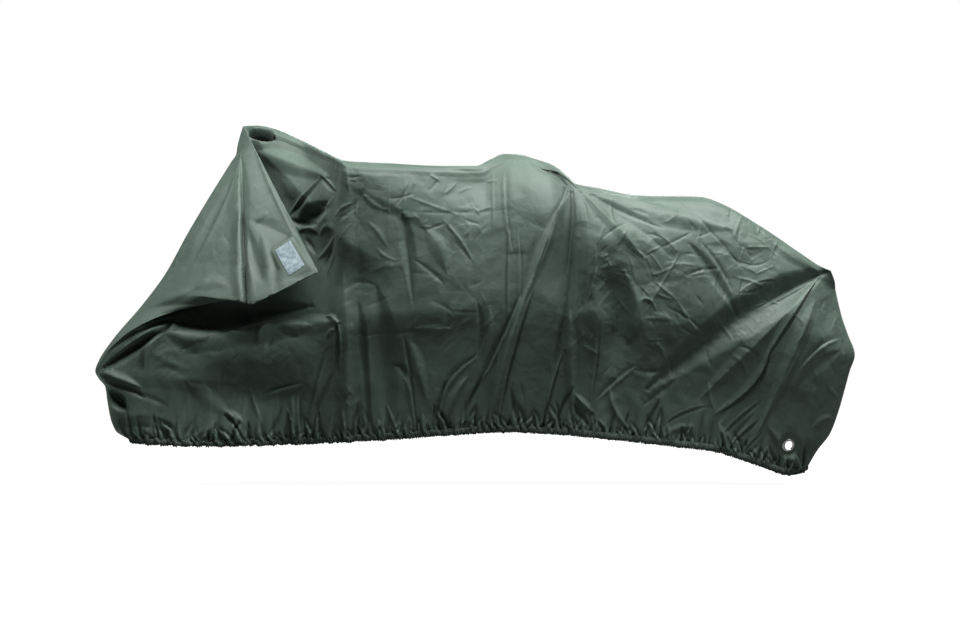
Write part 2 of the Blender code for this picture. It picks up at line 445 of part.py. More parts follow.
def cut_hole(sheet, place):
    radius = HOLE_R + BARREL_WALL + GAP
    half = CUTTER_HALF
    cutter = spin("cutter", ((0.0, -half), (radius, -half), (radius, half), (0.0, half)),
                  place["centre"], place["normal"], (0, 0, 0), 1, 0)
    bm = bmesh.new()
    bm.from_mesh(cutter.data)
    bmesh.ops.remove_doubles(bm, verts=bm.verts, dist=1e-7)
    bmesh.ops.dissolve_degenerate(bm, edges=bm.edges, dist=1e-7)
    bmesh.ops.recalc_face_normals(bm, faces=bm.faces)
    bm.to_mesh(cutter.data)
    bm.free()
    cut = sheet.modifiers.new("hole", "BOOLEAN")
    cut.operation, cut.solver, cut.object = "DIFFERENCE", "EXACT", cutter
    applied(sheet)
    bpy.data.objects.remove(cutter)


def build_label(label):
    """Sewn patch with rounded corners, lying on the pleat."""
    half_w, half_l, c = LABEL_W / 2 - LABEL_CORNER, LABEL_L / 2 - LABEL_CORNER, LABEL_CORNER
    ring = []
    for k, (cx, cy) in enumerate(((half_w, half_l), (-half_w, half_l), (-half_w, -half_l), (half_w, -half_l))):
        ring += [(cx + c * math.cos(a), cy + c * math.sin(a)) for a in
                 (math.pi / 2 * (k + i / 4) for i in range(5))]
    centre, normal = Vector(label["centre"]), Vector(label["normal"])
    bm = bmesh.new()
    faces = []
    for height in (GAP, GAP + LABEL_THICK):
        base = centre + normal * height
        faces.append([bm.verts.new(base + label["wide"] * u + label["long"] * v) for u, v in ring])
    bm.faces.new(faces[0][::-1])
    bm.faces.new(faces[1])
    for i in range(len(ring)):
        j = (i + 1) % len(ring)
        bm.faces.new((faces[0][i], faces[0][j], faces[1][j], faces[1][i]))
    bmesh.ops.recalc_face_normals(bm, faces=bm.faces)
    return new_object("label", bm, (0.62, 0.68, 0.72), 0.4)


def main():
    for item in list(bpy.data.objects):
        bpy.data.objects.remove(item)
    label = {}
    sheet = build_sheet((NEAR_EYELET, FAR_EYELET), label)
    for place in (NEAR_EYELET, FAR_EYELET):
        cut_hole(sheet, place)
    build_eyelet("eyelet_near", NEAR_EYELET)
    build_eyelet("eyelet_far", FAR_EYELET)
    build_label(label)


main()
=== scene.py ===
import bpy
import bmesh
import math
import numpy as np
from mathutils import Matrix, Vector
from mathutils.geometry import delaunay_2d_cdt


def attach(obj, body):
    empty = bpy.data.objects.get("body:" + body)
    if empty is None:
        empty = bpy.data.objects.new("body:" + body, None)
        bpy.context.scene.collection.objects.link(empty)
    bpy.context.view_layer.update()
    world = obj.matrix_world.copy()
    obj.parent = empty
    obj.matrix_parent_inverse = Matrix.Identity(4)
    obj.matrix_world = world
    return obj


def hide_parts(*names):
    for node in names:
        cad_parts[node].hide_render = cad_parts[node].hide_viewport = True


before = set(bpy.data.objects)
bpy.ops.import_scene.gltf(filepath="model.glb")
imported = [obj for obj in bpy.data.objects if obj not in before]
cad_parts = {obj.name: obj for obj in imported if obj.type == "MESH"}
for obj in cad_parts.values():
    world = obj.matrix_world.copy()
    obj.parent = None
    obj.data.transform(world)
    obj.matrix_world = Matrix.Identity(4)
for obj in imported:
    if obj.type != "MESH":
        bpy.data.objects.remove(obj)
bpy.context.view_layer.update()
scene = bpy.context.scene

cm = 0.01
groundOrigin = np.array([10.5, 0.0, 112.2])   # the frame's origin; the tables are in cm above the ground


# camera, light and floor; each light has its power, place, aim and size
studio = {
    "distance": 8.0, "eyeHeight": 55.8, "lens": 88.2, "skyLight": 0.022,
    "lights": {"keyLight": (268, (0.98, -0.78, 2.3), (0.1, 0.1, -0.5), (4.0, 1.1)),
               "tailLight": (31, (3.0, -1.6, 1.6), (0.9, 0, -0.5), (1.2, 1.6)),
               "noseLight": (84, (-1.6, -0.3, 2.2), (-0.9, 0, -0.3), (1.4, 1.6)),
               "backLight": (170, (-0.1, 3.6, 0.7), (0, 0, -0.5), (3.0, 1.6))},
    "floorSize": 60.0, "floorTone": 0.12, "nearGlow": 0.92, "farGlow": 1.0, "glowFrom": 1.3, "glowTo": 2.2,
}


def addLight(name, power, place, aim, size):
    lamp = bpy.data.lights.new(name, "AREA")
    lamp.energy = power
    lamp.shape = "RECTANGLE"
    lamp.size, lamp.size_y = size
    item = bpy.data.objects.new(name, lamp)
    scene.collection.objects.link(item)
    item.location = place
    item.rotation_euler = (Vector(aim) - Vector(place)).to_track_quat("-Z", "Y").to_euler()
    return item


cameraData = bpy.data.cameras.new("camera")
cameraData.lens = studio["lens"]
cameraData.sensor_width = 36
camera = bpy.data.objects.new("camera", cameraData)
scene.collection.objects.link(camera)
camera.location = (-groundOrigin[0] * cm, -studio["distance"], (studio["eyeHeight"] - groundOrigin[2]) * cm)
camera.rotation_euler = (math.pi / 2, 0, 0)
scene.camera = camera
scene.view_settings.view_transform = "Standard"

world = bpy.data.worlds.new("studio")
scene.world = world
world.use_nodes = True
worldTree = world.node_tree
sky = worldTree.nodes["Background"]
sky.inputs["Color"].default_value = (1, 1, 1, 1)
rays = worldTree.nodes.new("ShaderNodeLightPath")
skyAmount = worldTree.nodes.new("ShaderNodeMix")   # white to the camera, dim to the cloth
skyAmount.inputs["A"].default_value = studio["skyLight"]
skyAmount.inputs["B"].default_value = 1.0
worldTree.links.new(rays.outputs["Is Camera Ray"], skyAmount.inputs["Factor"])
worldTree.links.new(skyAmount.outputs["Result"], sky.inputs["Strength"])

lights = {name: addLight(name, *setting) for name, setting in studio["lights"].items()}
lights["backLight"].visible_camera = False   # so that it doesn't stand in a view from behind


# shader helper
class Wire:
    # wraps one socket, so that a pattern reads as plain maths
    def __init__(self, tree, socket=None):
        self.tree, self.socket = tree, socket

    def node(self, kind, settings, inputs, out=0):
        made = self.tree.nodes.new(kind)
        for name, value in settings.items():
            setattr(made, name, value)
        for name, value in inputs.items():
            if isinstance(value, Wire):
                self.tree.links.new(value.socket, made.inputs[name])
            else:
                made.inputs[name].default_value = value
        return Wire(self.tree, made.outputs[out])

    def maths(self, operation, *values):
        return self.node("ShaderNodeMath", {"operation": operation}, dict(enumerate(values)))

    def __add__(self, other):
        return self.maths("ADD", self, other)

    def __sub__(self, other):
        return self.maths("SUBTRACT", self, other)

    def __rsub__(self, other):
        return self.maths("SUBTRACT", other, self)

    def __mul__(self, other):
        return self.maths("MULTIPLY", self, other)

    __radd__, __rmul__ = __add__, __mul__

    def clamp(self, low, high):
        return self.node("ShaderNodeMapRange", {"interpolation_type": "SMOOTHSTEP"},
                         {"Value": self, "From Min": low, "From Max": high})

    def blend(self, colourA, colourB):
        # this wire is the share of colourB
        return self.node("ShaderNodeMix", {"data_type": "RGBA"}, {0: self, 6: colourA, 7: colourB}, out=2)


def newMaterial(name):
    material = bpy.data.materials.new(name)
    material.use_nodes = True
    tree = material.node_tree
    return material, tree.nodes["Principled BSDF"], Wire(tree)


def plug(wire, shader, name):
    wire.tree.links.new(wire.socket, shader.inputs[name])


def coordinates(wire, kind):
    return wire.node("ShaderNodeTexCoord", {}, {}, out=kind)


def noise(wire, at, scale, detail=3, rough=0.5, warp=0.0):
    return wire.node("ShaderNodeTexNoise", {}, {"Vector": at, "Scale": scale, "Detail": detail,
                                                "Roughness": rough, "Distortion": warp})


def bands(wire, at, direction, scale, warp=0.0):
    return wire.node("ShaderNodeTexWave", {"wave_type": "BANDS", "bands_direction": direction},
                     {"Vector": at, "Scale": scale, "Distortion": warp})


def plugBumps(wire, shader, height):
    bump = wire.node("ShaderNodeBump", {}, {"Strength": 1.0, "Distance": 1.0, "Height": height})
    plug(bump, shader, "Normal")


def facetRelief(wire, at, pitch, seed):
    # flat facets that meet in sharp creases, as on crumpled paper: each cell is a low pyramid, up or down
    shift = (seed, seed * 1.7, seed * 0.6)
    moved = wire.node("ShaderNodeVectorMath", {"operation": "ADD"}, {0: at, 1: shift})
    cell = {"Vector": moved, "Scale": 1 / pitch}
    nearest = wire.node("ShaderNodeTexVoronoi", {"feature": "F1"}, cell)
    second = wire.node("ShaderNodeTexVoronoi", {"feature": "F2"}, cell)
    colour = wire.node("ShaderNodeTexVoronoi", {"feature": "F1"}, cell, out="Color")
    chance = wire.node("ShaderNodeSeparateColor", {}, {0: colour})
    return (second * second - nearest * nearest) * (chance - 0.5) * pitch


# finishes; a pair of numbers is where a smooth change starts and ends
clothFinish = {
    # the third colour on this line is a painted highlight for the ridges
    "dark": (0.046, 0.074, 0.056, 1), "pale": (0.066, 0.100, 0.078, 1), "paintedRidgeHighlight": (0.135, 0.180, 0.150, 1),
    # painted shade: the first colour on this line darkens the valleys of the cloth, the second the mouth of the
    # fold at the peak
    "paintedValleyShade": (0.026, 0.044, 0.033, 1), "hidden": (0.003, 0.004, 0.004, 1),
    "ridgeHighlightShare": 0.18, "valleyShadeShare": 0.6,
    "cloudScale": 3.2, "cloudEdges": (0.3, 0.7), "cloudShare": 0.6,
    "streakScale": 26, "streakEdges": (0.35, 0.65), "streakShare": 0.4,
    "crushScale": 5.5, "crushEdges": (0.38, 0.62), "crushMost": 0.85, "crushLeast": 0.3,
    "valleyEdges": (0.1, 1.0), "ridgeEdges": (0.25, 1.0), "hiddenEdges": (1.3, 2.6),
    "rough": 0.56, "roughSwing": 0.10, "sheen": 0.10, "sheenRough": 0.4, "gloss": 0.38,
    "weavePitch": 0.0011, "weaveBump": 0.00008, "weaveWarp": 0.3, "fineScale": 60, "fineBump": 0.0004,
    "facets": ((0.095, 3.1, 0.12), (0.042, 7.7, 0.11), (0.018, 1.3, 0.08)),   # pitch, seed and steepness
}
# a darker copy of the cloth's colours for the hem, as painted shade of its small gathers
hemShadedFinish = dict(clothFinish, dark=(0.020, 0.033, 0.025, 1), pale=(0.033, 0.052, 0.040, 1))
nickelFinish = {"bright": (0.78, 0.79, 0.80, 1), "dull": (0.62, 0.63, 0.65, 1), "hazeScale": 420,
                "hazeEdges": (0.35, 0.7), "rough": 0.16, "roughSwing": 0.14, "bump": 0.00004}
satinFinish = {"dark": (0.12, 0.17, 0.20, 1), "pale": (0.25, 0.32, 0.35, 1), "marbleScale": 34,
               "marbleEdges": (0.36, 0.66), "grainScale": 300, "rough": 0.32, "roughSwing": 0.12,
               "ribScale": 90, "ribBump": 0.00006, "marbleBump": 0.0006, "sheen": 0.15}
threadFinish = {"green": (0.05, 0.075, 0.06), "pale": (0.5, 0.56, 0.58), "shade": 0.6, "twistScale": 400,
                "rough": 0.6}


def makeClothMaterial(name, finish):
    material, shader, wire = newMaterial(name)
    place, flat = coordinates(wire, "Object"), coordinates(wire, "UV")
    crumple = wire.node("ShaderNodeAttribute", {"attribute_name": "crumple"}, {}, out="Fac")
    ridge = wire.node("ShaderNodeAttribute", {"attribute_name": "ridge"}, {}, out="Fac")
    clouds = noise(wire, place, finish["cloudScale"])
    streaks = noise(wire, place, finish["streakScale"], 4, 0.6, 0.6)
    crush = noise(wire, place, finish["crushScale"], 2).clamp(*finish["crushEdges"])
    crushed = (crush * finish["crushMost"] + finish["crushLeast"]) * crumple
    facets = sum(facetRelief(wire, place, pitch, seed) * steep for pitch, seed, steep in finish["facets"])
    tone = (clouds.clamp(*finish["cloudEdges"]) * finish["cloudShare"]
            + streaks.clamp(*finish["streakEdges"]) * finish["streakShare"])
    body = tone.blend(finish["dark"], finish["pale"])
    # painted shade: the valleys are darkened towards the dark valley colour
    sunk = ((0 - ridge).clamp(*finish["valleyEdges"]) * finish["valleyShadeShare"]).blend(body, finish["paintedValleyShade"])
    # painted highlight: sharp ridges are lightened towards the pale ridge colour
    paintedRidgeHighlight = (ridge.clamp(*finish["ridgeEdges"]) * finish["ridgeHighlightShare"]).blend(sunk, finish["paintedRidgeHighlight"])
    # painted shade: near black where the ridge value falls far below -1, which is in the mouth of the fold at
    # the peak
    hidden = (0 - ridge).clamp(*finish["hiddenEdges"]).blend(paintedRidgeHighlight, finish["hidden"])
    plug(hidden, shader, "Base Color")
    plug(streaks * finish["roughSwing"] + (finish["rough"] - finish["roughSwing"] / 2), shader, "Roughness")
    warp = bands(wire, flat, "X", 0.05 / finish["weavePitch"], finish["weaveWarp"])
    weft = bands(wire, flat, "Y", 0.05 / finish["weavePitch"], finish["weaveWarp"])
    fine = noise(wire, place, finish["fineScale"], 3, 0.55)
    plugBumps(wire, shader, facets * crushed + fine * finish["fineBump"] + warp * weft * finish["weaveBump"])
    shader.inputs["Sheen Weight"].default_value = finish["sheen"]
    shader.inputs["Sheen Roughness"].default_value = finish["sheenRough"]
    shader.inputs["Specular IOR Level"].default_value = finish["gloss"]
    return material


def makeMetalMaterial(name, finish):
    material, shader, wire = newMaterial(name)
    haze = noise(wire, coordinates(wire, "Object"), finish["hazeScale"])
    plug(haze.clamp(*finish["hazeEdges"]).blend(finish["bright"], finish["dull"]), shader, "Base Color")
    plug(haze * finish["roughSwing"] + finish["rough"], shader, "Roughness")
    plugBumps(wire, shader, haze * finish["bump"])
    shader.inputs["Metallic"].default_value = 1.0
    return material


def makeSatinMaterial(name, finish):
    material, shader, wire = newMaterial(name)
    flat = coordinates(wire, "UV")
    marble = noise(wire, flat, finish["marbleScale"], 4, 0.6, 1.2)
    plug(marble.clamp(*finish["marbleEdges"]).blend(finish["dark"], finish["pale"]), shader, "Base Color")
    grain = noise(wire, flat, finish["grainScale"], 2)
    plug(grain * finish["roughSwing"] + finish["rough"], shader, "Roughness")
    ribs = bands(wire, flat, "Y", finish["ribScale"])
    plugBumps(wire, shader, ribs * finish["ribBump"] + marble * finish["marbleBump"])
    shader.inputs["Sheen Weight"].default_value = finish["sheen"]
    return material


def makeThreadMaterial(name, colour, finish):
    material, shader, wire = newMaterial(name)
    twist = bands(wire, coordinates(wire, "Object"), "DIAGONAL", finish["twistScale"])
    plug(twist.blend((*colour, 1), (*(c * finish["shade"] for c in colour), 1)), shader, "Base Color")
    shader.inputs["Roughness"].default_value = finish["rough"]
    return material


def makeFloorMaterial(name):
    # a matt floor, with a white glow that only the camera sees, so that it doesn't light the cloth from below
    material, shader, wire = newMaterial(name)
    place = coordinates(wire, "Object")
    tone, light = studio["floorTone"], studio["floorTone"] * 1.04
    plug(noise(wire, place, 2).blend((tone, tone, tone, 1), (light, light, light, 1)), shader, "Base Color")
    shader.inputs["Roughness"].default_value = 1.0
    shader.inputs["Specular IOR Level"].default_value = 0.0
    away = wire.node("ShaderNodeVectorMath", {"operation": "LENGTH"}, {0: place}, out="Value")
    level = (away.clamp(studio["glowFrom"], studio["glowTo"]) * (studio["farGlow"] - studio["nearGlow"])
             + studio["nearGlow"])
    white = wire.node("ShaderNodeCombineColor", {}, {"Red": level, "Green": level, "Blue": level})
    glow = wire.node("ShaderNodeEmission", {}, {"Color": white, "Strength": 1.0})
    plain = Wire(wire.tree, shader.outputs[0])
    both = wire.node("ShaderNodeAddShader", {}, {0: plain, 1: glow})
    seen = wire.node("ShaderNodeLightPath", {}, {}, out="Is Camera Ray")
    mixed = wire.node("ShaderNodeMixShader", {}, {0: seen, 1: plain, 2: both})
    plug(mixed, wire.tree.nodes["Material Output"], "Surface")
    return material


clothMaterial = makeClothMaterial("greenCloth", clothFinish)
hemShadedMaterial = makeClothMaterial("greenHemPaintedShade", hemShadedFinish)
nickelMaterial = makeMetalMaterial("brightNickel", nickelFinish)
labelMaterial = makeSatinMaterial("labelSatin", satinFinish)
threadMaterial = makeThreadMaterial("greenThread", threadFinish["green"], threadFinish)
paleThread = makeThreadMaterial("paleThread", threadFinish["pale"], threadFinish)
print("finishes made")

floorMesh = bpy.data.meshes.new("floor")
half, low = studio["floorSize"] / 2, -groundOrigin[2] * cm
floorMesh.from_pydata([(-half, -half, low), (half, -half, low), (half, half, low), (-half, half, low)],
                      [], [(0, 1, 2, 3)])
floor = bpy.data.objects.new("floor", floorMesh)
scene.collection.objects.link(floor)
floor.data.materials.append(makeFloorMaterial("paleFloor"))


# tables of the cloth
def table(columns, *rows):
    return dict(zip(columns.split(), np.array(rows, float).T))


flapEnd = 0.783
cover = {
    # the mesh
    "rows": 232, "bodyColumns": 740, "flapColumns": 128, "tuckColumns": 12, "rowPower": 1.3,
    "mostTriangles": 190000,
    "seeds": {"strewn": 5, "nearFacets": 40, "nearGathers": 3, "farFacets": 60, "farGathers": 8,
              "flapFacets": 80, "nearWaves": 11, "farWaves": 23},
    # how the walls round over at the top, nose and tail, and how the near wall leaves the flap's root
    "topRound": 1.8, "noseRound": 0.10, "tailRound": 0.09, "noseBlend": (0.25, 0.30), "edgeRound": 0.03,
    "leadShares": (0.02, 0.30), "leadHeights": (0.05, 0.45), "leadPower": 0.6, "topEase": 0.02,
    # the flap and the tuck behind it
    "flapBow": 0.85, "tuckSag": 2.2, "sagEdges": (0.015, 0.12), "flapSagShare": 0.5, "flapFadeWidth": 0.3,
    "tuckFade": 1.5, "roomAbove": 0.10, "roomBelow": 0.08,
    # folds, creases and facets
    "foldSteps": 10, "foldReach": 0.5, "foldEnds": 0.02, "foldTaper": 0.6, "creasePower": 1.25,
    "lapPower": 1.3, "sunkPower": 1.5, "lapShare": 0.6, "lapEdge": 0.9,
    "leastCrushed": 0.12, "mostCrushed": 1.4,
    "flapCrumple": 0.35, "plainCrumple": 0.25, "crushedCrumple": 0.75, "facetScatter": 0.45,
    "creaseLengths": (0.35, 1.3), "creaseDepths": (0.5, 1.5), "creaseWidths": (0.8, 1.3), "creaseBow": 0.08,
    # lift in metres at which an edge counts as sharp, and how many metres of weave the full height takes
    "nearSharp": 0.0007, "farSharp": 0.0018, "weaveDrop": 1.1,
    "topLine": table("x z y",
        (-83.0, 123.7, 24), (-78.3, 123.8, 22), (-73.2, 122.9, 20), (-61.7, 117.8, 10.5),
        (-53.1, 113.1, -2.5), (-44.5, 108.7, -19.5), (-38.2, 108.2, -19.5), (-30.0, 107.9, -18.5),
        (-13.3, 107.2, -16), (-1.4, 107.4, -13), (3.4, 109.9, -8), (8.5, 112.2, -3), (12.9, 112.0, -3),
        (18.6, 110.3, -5), (24.7, 107.8, -9), (28.8, 104.4, -12), (32.3, 101.1, -16), (40.3, 100.1, -10),
        (54.0, 98.0, -4), (67.8, 97.9, -2), (74.6, 97.7, -1.5), (79.8, 96.3, -1), (95.2, 87.8, 0),
        (108.8, 78.6, 0), (115.3, 74.1, -2), (118.7, 72.5, -4)),
    "hemLine": table("x z near far",
        (-117.5, 15.3, 10, -6), (-107.0, 14.5, 13, 0), (-93.5, 14.2, 14, 7), (-73.5, 14.5, 14, 12),
        (-45.1, 15.7, 14.5, 14), (-26.7, 16.8, 15, 15), (-10.0, 18.1, 15, 15), (10.0, 19.1, 15, 15),
        (26.7, 18.3, 15, 15), (40.0, 17.1, 15, 15), (53.4, 15.7, 14, 14), (66.9, 14.0, 13, 13),
        (76.4, 12.9, 12, 12), (90.0, 9.0, 10, 10), (98.3, 6.0, 8, 8), (104.6, 4.2, 6, 6),
        (109.4, 4.7, 3, 3), (111.5, 6.0, 0, 0)),
    "frontEdge": table("x z y",
        (-83.0, 123.7, 24), (-83.9, 120.5, 23), (-84.7, 116.3, 21), (-84.9, 113.8, 19.5), (-86.6, 110.7, 18),
        (-94.3, 96.4, 10), (-100.2, 85.2, 5), (-107.1, 71.4, 0), (-114.5, 60.5, -5), (-122.9, 49.8, -10),
        (-127.3, 42.4, -14), (-128.4, 38.8, -15), (-127.3, 36.1, -14), (-125.4, 33.4, -13), (-124.9, 29, -12),
        (-123.9, 22.9, -11), (-122.2, 18.8, -10), (-117.5, 15.3, -10)),
    "rearEdge": table("x z y",
        (118.7, 72.5, -4), (120.4, 68.7, -2), (121.0, 65.7, 0), (123.1, 56.8, 0), (125.1, 51.0, 0),
        (127.5, 43.9, 0), (125.8, 38.5, 0), (124.4, 33.4, 0), (122.1, 25.2, 0), (119.0, 17.0, 0),
        (114.9, 11.6, 0), (111.5, 6.0, 0)),
    "flapEdge": table("t x z y",
        (0.00, -83.0, 123.7, 24), (0.12, -77.3, 114.1, 13.5), (0.22, -70.0, 101.2, 0),
        (0.32, -61.6, 86.6, -13), (0.40, -54.9, 74.6, -24.3), (0.415, -53.6, 72.3, -26.4),
        (0.42, -53.2, 71.5, -27), (0.425, -54.5, 70.9, -27), (0.46, -63.9, 66.2, -26.5),
        (0.505, -73.9, 61.3, -25.3), (0.51, -75.0, 60.8, -25.0), (0.515, -75.8, 61.2, -24.3),
        (0.54, -79.5, 62.8, -20.8), (0.58, -91.2, 61.1, -14.3), (0.63, -103.0, 58.5, -12),
        (0.69, -116.5, 52.5, -12.5), (0.74, -124.0, 45.8, -14), (flapEnd, -128.4, 38.8, -15)),
    "flapRoot": table("t x z y",
        (0.04, -81.0, 119.6, 20), (0.12, -80.0, 111.0, 17), (0.22, -79.5, 99.0, 8), (0.32, -82.0, 87.5, 0),
        (0.42, -87.5, 76.5, -5), (0.51, -95, 66.5, -6), (0.58, -101.5, 62, -4), (0.63, -108, 58.5, -6.5),
        (0.69, -116.5, 52.5, -12.5)),
    "sections": table("s nearShoulder nearFlank nearBelly nearLow farShoulder farFlank farBelly farLow",
        (0.00, 18, 6, -5, -9, 27, 28, 14, -4), (0.10, 4, -11.5, -14, -13, 25, 29, 22, 8),
        (0.145, -11, -20, -20, -17, 9.5, 22.5, 21.5, 11.5),
        (0.19, -25.5, -25.5, -23, -18, -6, 16, 21, 15), (0.30, -21, -24.5, -25, -19, 1, 16, 21, 17),
        (0.43, -13, -21.5, -24, -19, 8, 20, 22, 18), (0.50, -14, -23, -24, -19, 8, 20, 22, 18),
        (0.56, -22, -27, -25, -19, 4, 18, 22, 18), (0.65, -14, -21.5, -22, -17, 8, 18, 20, 16),
        (0.76, -9.5, -16, -19, -15, 8, 15, 17, 14), (0.88, -7, -13, -15, -12, 6, 12, 14, 11),
        (1.00, -4, -6, -6, -4, 4, 6, 6, 4)),
    "sectionHeights": (0.0, 0.06, 0.25, 0.50, 0.78, 1.0),
}
